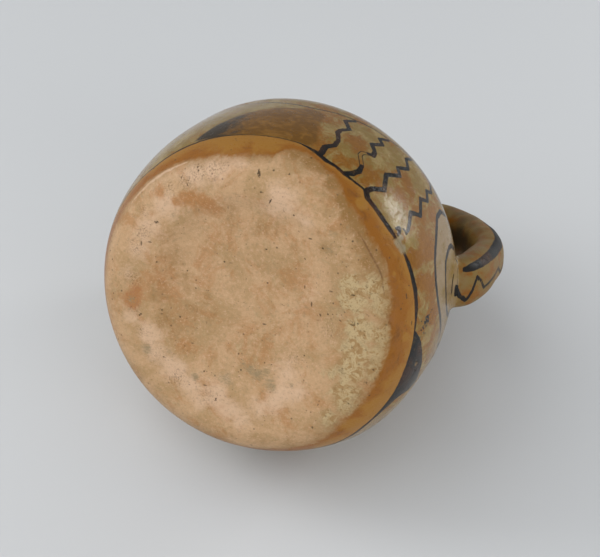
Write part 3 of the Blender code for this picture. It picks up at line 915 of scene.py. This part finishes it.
def store(mesh, name, values):
    """Keeps one number for each corner of the mesh, under a name that the clay material reads."""
    layer = mesh.attributes.new(name, "FLOAT", "POINT")
    layer.data.foreach_set("value", np.asarray(values, np.float32))


# What tells the handle, inside and underside from the rest, in millimetres, and a distance that hides paint
LOWEST_HANDLE = 62
INSIDE_OUT = -3.4
INSIDE_LOWEST = 8
UNDERSIDE_HIGHEST = 7
FAR_OFF = 20


def paint(mesh):
    """Stores what the clay material needs: distances to painted edges, and soft patches."""
    build = bmesh.new()
    build.from_mesh(mesh)
    surface = bvhtree.BVHTree.FromBMesh(build)
    build.free()
    places = mesh_places(mesh)
    azimuth = np.degrees(np.arctan2(places[:, 1], places[:, 0] - AXIS_X))
    level = places[:, 2] / MM
    out = beyond_body(places) / MM
    handle = smooth_step(out, 0.4, 1.6) * (level > LOWEST_HANDLE)
    inside = ((out < INSIDE_OUT) & (level > INSIDE_LOWEST)) * 1.0
    hidden = (handle + inside) * FAR_OFF
    underside = np.hypot(places[:, 0] - AXIS_X, places[:, 1]) - FOOT_RADIUS
    height = np.where((underside < 0) & (level < UNDERSIDE_HIGHEST), underside / MM, level)

    def strokes(dots):
        return stroke_distance(places, surface, dots) + inside * FAR_OFF

    def area(*outlines):
        distances = [outline_distance(azimuth, level, outline) for outline in outlines]
        return np.minimum.reduce(distances) + hidden

    def along_line(line, column=1):
        knots = np.array(sorted(line))
        return np.interp(azimuth, knots[:, 0], knots[:, column])

    values = {
        "line": strokes(painted_dots()),
        "hollow": strokes(stroke_dots(HOLLOW_STRETCH, on_side)),
        "ridge_highlight": strokes(stroke_dots(RIDGE_HIGHLIGHT, on_side)),
        "crease": strokes(stroke_dots(CREASE, on_side)),
        "wedge": area(BLACK_WEDGE),
        "leaf": area(LEAF, FAR_LEAF),
        "leaf_tip": smooth_step(azimuth, -91, -110) + smooth_step(azimuth, 150, 130) * (azimuth > 0),
        "arch": area(ARCH_FIELD),
        "zone": level - along_line(FRAMING_LINE) + hidden,
        "framing_width": along_line(FRAMING_LINE, 2),
        "upper": level - along_line(UPPER_LINE + FAR_UPPER_LINE) + hidden * 5,
        "level": level - hidden * 20,
        "band": height - along_line(BAND_EDGE),
        "handle": handle,
        "inside": inside,
        "rose_ground": smooth_step(azimuth, 30, 42) * smooth_step(azimuth, 80, 66),
    }
    for name, patches in SOFT_PATCHES.items():
        values[name] = soft_patches(places, patches)
    for name, numbers in values.items():
        store(mesh, name, numbers)


def sink_pits(mesh):
    """Presses pits and chips into the mesh and roughens the crust."""
    places = mesh_places(mesh)
    normals = np.empty(len(places) * 3)
    mesh.vertex_normals.foreach_get("vector", normals)
    normals = normals.reshape(-1, 3)
    depth = pit_depth(places)
    crust = soft_patches(places, CRUST)
    rough = waves(places, 2.6 * MM, 31, 14) * 0.10 + waves(places, 6 * MM, 32) * 0.10 - 0.06
    push = -depth + crust * rough
    push = np.where(places[:, 2] < 0.5 * MM, np.minimum(push, 0), push)
    places += normals * (push * MM)[:, None]
    places[:, 2] = np.maximum(places[:, 2], 0)
    mesh.vertices.foreach_set("co", places.ravel())
    store(mesh, "pit", np.clip(depth / 0.3, 0, 1))
    mesh.update()


def make_jar():
    handle = combined(make_handle(), "DIFFERENCE", make_root_cutter())
    handle_places = [Vector(place) for place in mesh_places(handle)]
    mesh = combined(make_body(), "UNION", handle)
    mesh.name = "painted_jar"
    smear_joins(mesh, handle_places)
    paint(mesh)
    sink_pits(mesh)
    mesh.shade_smooth()
    jar = bpy.data.objects.new("painted_jar", mesh)
    bpy.context.scene.collection.objects.link(jar)
    jar.data.materials.clear()
    jar.data.materials.append(make_clay())
    return jar


# Colours of the clay and paint, as light reflected in red, green and blue
BUFF = (0.490, 0.305, 0.162)
BUFF_ROSE = (0.600, 0.400, 0.260)
BUFF_OLIVE = (0.375, 0.232, 0.105)
TAN_ORANGE = (0.370, 0.168, 0.056)
TAN_BROWN = (0.262, 0.136, 0.040)
RED_BROWN = (0.340, 0.120, 0.050)
SMUDGE_GREY = (0.235, 0.180, 0.098)
CRUST_PALE = (0.505, 0.388, 0.210)
CRUST_DARK = (0.130, 0.085, 0.040)
BAND_ORANGE = (0.262, 0.098, 0.013)
BAND_TAN = (0.315, 0.150, 0.026)
BAND_BROWN = (0.130, 0.052, 0.016)
SLIP_OLIVE = (0.218, 0.144, 0.036)
SLIP_CREAM = (0.305, 0.222, 0.084)
SLIP_ORANGE = (0.200, 0.072, 0.005)
LEAF_DARK = (0.038, 0.024, 0.012)
LEAF_BROWN = (0.140, 0.060, 0.005)
ARCH_ROSE = (0.275, 0.195, 0.110)
PAINT_BLACK = (0.008, 0.007, 0.006)
PAINT_BROWN = (0.034, 0.014, 0.007)
WORN_GREY = (0.260, 0.230, 0.150)
HANDLE_OLIVE = (0.190, 0.120, 0.034)
PIT_DARK = (0.050, 0.032, 0.017)
# Colour of the painted shade under the handle and inside the strap
SHADE_DARK = (0.030, 0.021, 0.012)
INSIDE_CLAY = (0.200, 0.125, 0.070)
SPECULAR_LEVEL = 0.19
BUMP_HEIGHT = 0.25 * MM


class Value:
    """An output of the clay's nodes. It adds and scales as a number does, and colours are laid over it."""

    def __init__(self, nodes, socket):
        self.nodes = nodes
        self.socket = socket

    def __add__(self, other):
        return self.nodes.math("ADD", self, other)

    def __sub__(self, other):
        return self.nodes.math("SUBTRACT", self, other)

    def __rsub__(self, other):
        return self.nodes.math("SUBTRACT", other, self)

    def __mul__(self, other):
        return self.nodes.math("MULTIPLY", self, other)

    def larger(self, other):
        return self.nodes.math("MAXIMUM", self, other)

    def ramp(self, start, end):
        """Smooth step from 0 at the start to 1 at the end."""
        inputs = {"Value": self, "From Min": start, "From Max": end}
        return self.nodes.value("Result", "MapRange", inputs, interpolation_type="SMOOTHSTEP")

    def within(self, half_width, softness=0.2):
        """Share of paint, where this is the distance to a stroke's middle."""
        return (self.nodes.math("ABSOLUTE", self) - half_width).ramp(softness, -softness)

    def covered(self, colour, share):
        """This colour with a share of another over it."""
        return self.nodes.mix(share, self, colour)


class NodeWriter:
    """Short calls that build a material's node tree."""

    def __init__(self, material):
        material.use_nodes = True
        self.tree = material.node_tree
        self.shader = self.tree.nodes["Principled BSDF"]
        self.place = self.value("Object", "TexCoord")

    def add(self, kind, inputs=None, **settings):
        node = self.tree.nodes.new("ShaderNode" + kind)
        for name, value in settings.items():
            setattr(node, name, value)
        for key, value in (inputs or {}).items():
            self.join(value, node.inputs[key])
        return node

    def value(self, output, kind, inputs=None, **settings):
        return Value(self, self.add(kind, inputs, **settings).outputs[output])

    def join(self, value, socket):
        if isinstance(value, Value):
            self.tree.links.new(value.socket, socket)
        elif socket.type == "RGBA":
            socket.default_value = (*value, 1)
        else:
            socket.default_value = value

    def stored(self, name):
        return self.value("Fac", "Attribute", attribute_name=name)

    def math(self, operation, first, second=0.0, clamp=False):
        return self.value(0, "Math", {0: first, 1: second}, operation=operation, use_clamp=clamp)

    def mix(self, share, first, second):
        return self.value(2, "Mix", {0: share, 6: first, 7: second}, data_type="RGBA")

    def blend(self, share, first, second):
        return self.value(0, "Mix", {0: share, 2: first, 3: second}, data_type="FLOAT")

    def noise(self, size, detail=3.0, roughness=0.5, distortion=0.0, stretch=(1, 1, 1), shift=0.0):
        """Noise from 0 to 1 with features of about the given size in millimetres."""
        place = self.value(0, "Mapping", {"Vector": self.place, "Scale": stretch, "Location": (shift,) * 3})
        return self.value("Fac", "TexNoise", {
            "Vector": place, "Scale": 1 / (size * MM), "Detail": detail, "Roughness": roughness,
            "Distortion": distortion,
        })

    def specks(self, spacing, radius, share, stretch=(1, 1, 1), turn=0.0):
        """Small marks, 1 inside them, on a share of cells about the spacing apart, in millimetres."""
        place = self.value(0, "Mapping", {"Vector": self.place, "Scale": stretch, "Rotation": (0, 0, turn)})
        cell = self.add("TexVoronoi", {"Vector": place, "Scale": 1 / (spacing * MM)})
        near = Value(self, cell.outputs["Distance"]).ramp(radius / spacing * 1.3, radius / spacing * 0.7)
        return near * Value(self, cell.outputs["Color"]).ramp(1 - share, 1.05 - share)


def underside_colour(nodes):
    """Rubbed buff clay with rose and olive clouds, tints, smudges, open grain and crust, and painted shade
    in the dimple.
    """
    stored = nodes.stored
    noise = nodes.noise
    colour = nodes.mix(noise(26, 7, 0.66, 0.8).ramp(0.42, 0.60) * 0.8, BUFF, BUFF_OLIVE)
    colour = colour.covered(TAN_ORANGE, noise(15, 7, 0.68, 0.6, shift=0.3).ramp(0.49, 0.64) * 0.60)
    rose = stored("rose") + noise(8, 8, 0.74, 0.5, shift=0.7) * 1.8
    colour = colour.covered(BUFF_ROSE, rose.ramp(1.02, 1.75) * 0.85)
    # Orange tints, and painted shade round the inside of the dimple's edge
    orange_tint_and_shade = stored("orange") + noise(6, 8, 0.74, 0.8, shift=1.1) * 1.5
    colour = colour.covered(TAN_ORANGE, orange_tint_and_shade.ramp(1.0, 1.65) * 0.85)
    # Browner tone, and painted shade on the dimple's steep side
    browner_and_shade = stored("tan") + noise(7, 7, 0.72, 0.6, shift=1.4) * 1.2
    colour = colour.covered(TAN_BROWN, browner_and_shade.ramp(0.75, 1.35) * 0.9)
    fine = noise(1.7, 7, 0.80, shift=1.7)
    grain = noise(0.9, 5, 0.80, shift=1.9)
    colour = colour.covered(SMUDGE_GREY, fine.ramp(0.51, 0.64) * 0.45)
    colour = colour.covered(BUFF_ROSE, fine.ramp(0.48, 0.35) * 0.50)
    open_grain = (stored("abraded") + noise(7, 6, 0.7, shift=2.3) * 0.7).ramp(0.55, 1.2)
    colour = colour.covered(CRUST_DARK, open_grain * grain.ramp(0.50, 0.60) * 0.75)
    colour = colour.covered(BUFF_ROSE, open_grain * grain.ramp(0.48, 0.36) * 0.60)
    red = (stored("red") + noise(2.2, 7, 0.80, 1.0)).ramp(0.72, 1.25)
    dull = (stored("red") + grain * 2.6).ramp(2.10, 2.45)
    reds = nodes.mix(grain.ramp(0.46, 0.60), TAN_ORANGE, RED_BROWN).covered(SMUDGE_GREY, dull)
    colour = colour.covered(reds, red * 0.9)
    streak = noise(3.6, 7, 0.78, 1.5, stretch=(1, 2.4, 1), shift=2.0)
    colour = colour.covered(SMUDGE_GREY, (stored("grey") + streak * 2.4).ramp(1.45, 2.10) * 0.75)
    colour = colour.covered(BUFF_OLIVE, stored("crust").ramp(0.0, 0.5) * 0.65)
    dusty = (stored("crust") + noise(4.5, 8, 0.74, 0.8, shift=2.6) * 1.9).ramp(1.02, 1.50)
    return colour.covered(crust_colour(nodes), dusty * 0.75), dusty, open_grain


def crust_colour(nodes):
    """Pale crust with dark cracks and stains."""
    crust = nodes.mix(nodes.noise(1.9, 8, 0.80, 0.4, shift=3.0).ramp(0.51, 0.65), CRUST_PALE, CRUST_DARK)
    stain = nodes.noise(5, 6, 0.72, 0.6, shift=3.4)
    crust = crust.covered(TAN_BROWN, stain.ramp(0.49, 0.58) * 0.75)
    return crust.covered(SMUDGE_GREY, stain.ramp(0.45, 0.34) * 0.6)


def ground_colour(nodes):
    """Burnished slip of the painted zone: olive and cream, clouded with orange, and rosy by the wedge."""
    clouds = nodes.noise(7, 8, 0.70, 1.0, stretch=(1, 1, 0.8), shift=4.0)
    lean = nodes.stored("patch_orange") - nodes.stored("patch_pale")
    orange = (clouds + lean * 0.26).ramp(0.44, 0.62)
    mottle = nodes.noise(2.0, 7, 0.80, 0.6, shift=5.5).ramp(0.45, 0.60)
    base = nodes.mix(nodes.noise(10, 7, 0.68, shift=5.0).ramp(0.42, 0.62), SLIP_OLIVE, SLIP_CREAM)
    base = base.covered(SLIP_ORANGE, mottle * 0.38)
    base = base.covered(nodes.mix(mottle * 0.42, SLIP_ORANGE, BAND_TAN), orange * 0.9)
    return base.covered(ARCH_ROSE, nodes.stored("rose_ground") * 0.8)


def band_colour(nodes, band, zone):
    """Orange band between the rubbed underside and the framing line, lighter towards the line."""
    streaks = nodes.noise(8, 7, 0.7, 0.5, stretch=(1, 1, 2.6), shift=6.0)
    share = nodes.math("DIVIDE", band, band - zone)
    patches = nodes.noise(13, 6, 0.7, 0.8, stretch=(1, 1, 1.4), shift=6.5) + nodes.stored("patch_pale")
    tan = (share * 0.55 + patches * 1.2).ramp(0.78, 1.14)
    colour = nodes.mix(streaks.ramp(0.48, 0.72) * 0.55, BAND_ORANGE, BAND_BROWN)
    return colour.covered(BAND_TAN, tan * 0.85)


def with_motifs(nodes, colour, wobble, ragged):
    """The leaf and the field within the arches, laid over the ground."""
    leaf_tone = (nodes.stored("leaf_tip") + ragged * 1.6).ramp(0.15, 0.9)
    leaf_cloud = nodes.noise(9, 7, 0.7, 0.8, stretch=(1, 1, 1.6), shift=9.5).ramp(0.44, 0.64)
    leaf = nodes.mix(leaf_cloud * 0.45, LEAF_BROWN, BAND_TAN).covered(LEAF_DARK, leaf_tone)
    colour = colour.covered(leaf, (nodes.stored("leaf") + ragged * 4.5).ramp(1.2, -1.2))
    cloud = nodes.noise(10, 6, 0.65, stretch=(1, 1, 0.6), shift=10.0).ramp(0.40, 0.74)
    in_arch = (nodes.stored("arch") + wobble * 0.8).ramp(0.4, -0.4)
    return colour.covered(nodes.mix(cloud, ARCH_ROSE, SLIP_OLIVE), in_arch * 0.85)


def paint_cover(nodes, wobble, ragged):
    """Share of black paint: strokes, the framing and upper lines, the wedge, rings and lip."""
    stored = nodes.stored
    level = stored("level") + wobble
    strokes = nodes.math("MINIMUM", stored("line") + wobble * 1.1, stored("wedge") + ragged * 1.2)
    shares = [
        strokes.ramp(0.35, 0.0),
        (stored("zone") + wobble * 0.9).within(stored("framing_width") + ragged * 0.8, 0.25),
        (stored("upper") + wobble).within(0.5),
        stored("hollow").within(0.22, 0.15),
        level.ramp(LIP_LINE_LOW - 0.2, LIP_LINE_LOW + 0.2),
    ]
    shares += [(level - ring).within(half_width) for ring, half_width in PLAIN_RINGS]
    faded = nodes.noise(4, 6, 0.75, shift=11.0).ramp(0.52, 0.80) * 0.45
    return functools.reduce(Value.larger, shares) * (1 - faded)


def dark_marks(nodes, open_grain, burnished):
    """Pits, grit holes and burnt straw, fainter where the slip is burnished."""
    clusters = nodes.noise(16, 4, 0.6, shift=13.0).ramp(0.40, 0.60)
    dots = nodes.specks(4.2, 0.52, 0.6).larger(nodes.specks(2.3, 0.34, 0.45) * 0.6)
    dashes = nodes.specks(5.5, 0.42, 0.5, (1, 0.32, 1), 0.6)
    marks = dots.larger(dashes).larger(nodes.specks(5.0, 0.40, 0.5, (0.35, 1, 1), 0.3)) * clusters
    grit = nodes.specks(2.1, 0.46, 0.55, (1, 0.6, 1), 0.9) * open_grain * 0.9
    marks = marks.larger(grit) * nodes.blend(burnished, 0.9, 0.25)
    hollows = nodes.stored("pit") + nodes.noise(0.9, 5, 0.75, shift=13.5) * 1.6
    return hollows.ramp(1.35, 1.70).larger(marks)


def make_clay():
    """The jar's one material: rubbed clay below, burnished slip and worn black paint above."""
    material = bpy.data.materials.new("painted_clay")
    nodes = NodeWriter(material)
    stored = nodes.stored
    noise = nodes.noise
    wobble = noise(2.4, 4, 0.6, shift=7.0) - 0.5
    ragged = noise(6, 7, 0.72, 0.6, shift=8.0) - 0.5

    colour, dusty, open_grain = underside_colour(nodes)
    band = stored("band")
    zone = stored("zone")
    band_edge = band + ragged * 7.5 + wobble * 2.0
    in_band = band_edge.ramp(-1.5, 1.3)
    colour = colour.covered(TAN_BROWN, band_edge.ramp(-5.0, 0.0) * 0.5)
    colour = colour.covered(band_colour(nodes, band, zone), in_band)
    # Painted highlight: pale line along the ridge's crest, with glossier clay there
    ridge_highlight = (stored("ridge_highlight") + wobble * 1.6).ramp(0.5, -0.4)
    colour = colour.covered(BUFF_ROSE, ridge_highlight * 0.75)
    colour = colour.covered(BAND_BROWN, (stored("crease") + wobble).ramp(0.55, 0.0) * 0.6)
    painted = (zone + wobble * 1.2).ramp(-0.3, 0.5)
    colour = colour.covered(ground_colour(nodes), painted)
    handle = stored("handle")
    handle_ground = nodes.mix(noise(7, 7, 0.7, shift=9.0).ramp(0.42, 0.66), HANDLE_OLIVE, SLIP_ORANGE)
    colour = with_motifs(nodes, colour.covered(handle_ground, handle), wobble, ragged)

    worn = (stored("rubbed") + ragged * 1.1).ramp(0.35, 0.7)
    paint_tone = nodes.mix(noise(14, 4, 0.5, shift=12.0).ramp(0.48, 0.66), PAINT_BLACK, PAINT_BROWN)
    colour = colour.covered(WORN_GREY, worn * 0.7)
    colour = colour.covered(paint_tone, paint_cover(nodes, wobble, ragged) * (1 - worn * 0.9))
    inside = stored("inside")
    # Painted shade: darker colour on the waist under the handle and inside the strap, which is also matt
    shade_share = (stored("painted_shade") + ragged * 0.5).ramp(0.25, 0.95)
    colour = colour.covered(SHADE_DARK, shade_share * 0.92).covered(INSIDE_CLAY, inside)
    marks = dark_marks(nodes, open_grain, painted.larger(handle))
    nodes.join(colour.covered(PIT_DARK, marks * 0.85), nodes.shader.inputs["Base Color"])

    fine = noise(1.6, 6, 0.75, shift=14.0)
    matt = nodes.blend(painted, nodes.blend(in_band, nodes.blend(open_grain, 0.42, 0.60), 0.30), 0.13)
    for share, roughness in ((handle.larger(shade_share), 0.45), (ridge_highlight, 0.26), (dusty, 0.80), (inside, 0.7)):
        matt = nodes.blend(share, matt, roughness)
    matt = matt + (fine - 0.5) * nodes.blend(painted, 0.25, 0.12)
    nodes.join(nodes.math("ADD", matt, marks * 0.3, clamp=True), nodes.shader.inputs["Roughness"])

    streaks = noise(2.2, 5, 0.6, 0.3, stretch=(1, 1, 5), shift=15.0)
    grain = noise(0.8, 4, 0.65, shift=16.0)
    rough = dusty.larger(open_grain * 0.8)
    height = streaks * 0.5 + grain * 0.45 + rough * fine * 2.6 - marks * 0.9
    bump = nodes.value("Normal", "Bump", {"Height": height, "Strength": 0.5, "Distance": BUMP_HEIGHT})
    nodes.join(bump, nodes.shader.inputs["Normal"])
    nodes.shader.inputs["Specular IOR Level"].default_value = SPECULAR_LEVEL
    return material


def view_axes():
    """Directions right, up and towards the camera in the photo, as the frame has them."""
    tilt = Vector((math.cos(VIEW_AZIMUTH), math.sin(VIEW_AZIMUTH), 0))
    side = Vector((-math.sin(VIEW_AZIMUTH), math.cos(VIEW_AZIMUTH), 0))
    up = Vector((0, 0, 1))
    mouth = math.cos(VIEW_OFF_AXIS) * tilt + math.sin(VIEW_OFF_AXIS) * up
    back = math.sin(VIEW_OFF_AXIS) * tilt - math.cos(VIEW_OFF_AXIS) * up
    right = math.cos(MOUTH_DIRECTION) * mouth + math.sin(MOUTH_DIRECTION) * side
    above = math.sin(MOUTH_DIRECTION) * mouth - math.cos(MOUTH_DIRECTION) * side
    return right, above, back


RIGHT, ABOVE, BACK = view_axes()
LOBE_CENTRE = Vector((AXIS_X, 0, LOWER_LOBE_RISE))


def make_camera():
    camera = bpy.data.objects.new("camera", bpy.data.cameras.new("camera"))
    bpy.context.scene.collection.objects.link(camera)
    across = (LOBE_CENTRE_PIXEL[0] - PHOTO_WIDTH / 2) / PIXELS_PER_METRE
    rise = (PHOTO_HEIGHT / 2 - LOBE_CENTRE_PIXEL[1]) / PIXELS_PER_METRE
    place = LOBE_CENTRE + BACK * CAMERA_DISTANCE - RIGHT * across - ABOVE * rise
    camera.matrix_world = Matrix.Translation(place) @ Matrix((RIGHT, ABOVE, BACK)).transposed().to_4x4()
    camera.data.sensor_width = SENSOR_WIDTH
    camera.data.lens = PIXELS_PER_METRE * CAMERA_DISTANCE * SENSOR_WIDTH / PHOTO_WIDTH
    bpy.context.scene.camera = camera


# Stage: a pale floor that the jar stands on, seen only from above, and the pale table of the photo, which
# the jar's side touches and which is seen only from the front
STAGE_SIZE = 6.0
FLOOR_GAP = 0.4 * MM
TABLE_LEAN = math.radians(42.0)
STAGE_GREY = (0.60, 0.61, 0.62, 1)


def one_sided(name):
    material = bpy.data.materials.new(name)
    material.use_nodes = True
    tree = material.node_tree
    shader = tree.nodes["Principled BSDF"]
    shader.inputs["Base Color"].default_value = STAGE_GREY
    shader.inputs["Roughness"].default_value = 0.8
    clear = tree.nodes.new("ShaderNodeBsdfTransparent")
    mix = tree.nodes.new("ShaderNodeMixShader")
    side = tree.nodes.new("ShaderNodeNewGeometry")
    tree.links.new(side.outputs["Backfacing"], mix.inputs[0])
    tree.links.new(shader.outputs[0], mix.inputs[1])
    tree.links.new(clear.outputs[0], mix.inputs[2])
    tree.links.new(mix.outputs[0], tree.nodes["Material Output"].inputs["Surface"])
    return material


def make_plane(name, place, normal):
    bpy.ops.mesh.primitive_plane_add(size=STAGE_SIZE, location=place)
    plane = bpy.context.object
    plane.name = name
    plane.rotation_euler = normal.to_track_quat("Z", "Y").to_euler()
    plane.data.materials.append(one_sided(name))
    return plane


def make_stage(jar):
    floor = make_plane("studio_floor", Vector((0, 0, -FLOOR_GAP)), Vector((0, 0, 1)))
    floor.visible_shadow = False
    floor.visible_diffuse = False
    floor.visible_glossy = False
    facing = ABOVE * math.cos(TABLE_LEAN) + BACK * math.sin(TABLE_LEAN)
    nearest = float((mesh_places(jar.data) @ np.array(facing)).min())
    make_plane("photo_table", facing * nearest, facing)


# Area lights: place along the photo's right, up and towards the camera, size, power
LIGHTS = {
    "key_soft_box": ((-1.60, 1.45, 1.25), (3.2, 3.2), 33),
    "front_soft_box": ((-0.10, 0.30, 2.0), (1.4, 1.4), 6),
    "fill_soft_box": ((1.2, -0.7, 1.3), (1.2, 1.2), 15),
    "side_soft_box": ((0.87, 0.47, -0.17), (0.30, 0.15), 2.4),
    "ridge_soft_box": ((-0.84, 0.48, 0.22), (0.40, 0.40), 2.2),
    "low_soft_box": ((-0.75, -0.35, 0.90), (0.6, 0.6), 1.5),
}
OVERHEAD_PLACE = Vector((-0.5, 0.5, 1.1))
OVERHEAD_SIZE = (0.8, 0.8)
OVERHEAD_POWER = 8
WORLD_COLOUR = (0.585, 0.610, 0.630, 1)
WORLD_STRENGTH = 0.61


def make_light(name, place, size, power):
    data = bpy.data.lights.new(name, "AREA")
    data.shape = "RECTANGLE"
    data.size, data.size_y = size
    data.energy = power
    light = bpy.data.objects.new(name, data)
    bpy.context.scene.collection.objects.link(light)
    light.location = place
    light.rotation_euler = (LOBE_CENTRE - place).to_track_quat("-Z", "Y").to_euler()
    return light


def make_lights(jar):
    for name, ((right, above, back), size, power) in LIGHTS.items():
        make_light(name, LOBE_CENTRE + RIGHT * right + ABOVE * above + BACK * back, size, power)
    overhead = make_light("overhead_soft_box", OVERHEAD_PLACE, OVERHEAD_SIZE, OVERHEAD_POWER)
    # The table stands between the overhead light and the jar, and lets that light through
    shadows = bpy.data.collections.new("overhead_shadows")
    shadows.objects.link(jar)
    overhead.light_linking.blocker_collection = shadows
    overhead.visible_glossy = False


def make_world():
    world = bpy.data.worlds.new("studio")
    world.use_nodes = True
    background = world.node_tree.nodes["Background"]
    background.inputs["Color"].default_value = WORLD_COLOUR
    background.inputs["Strength"].default_value = WORLD_STRENGTH
    bpy.context.scene.world = world
    bpy.context.scene.view_settings.view_transform = "Standard"


jar = make_jar()
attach(jar, "root")
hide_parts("jar")
make_camera()
make_stage(jar)
make_lights(jar)
make_world()
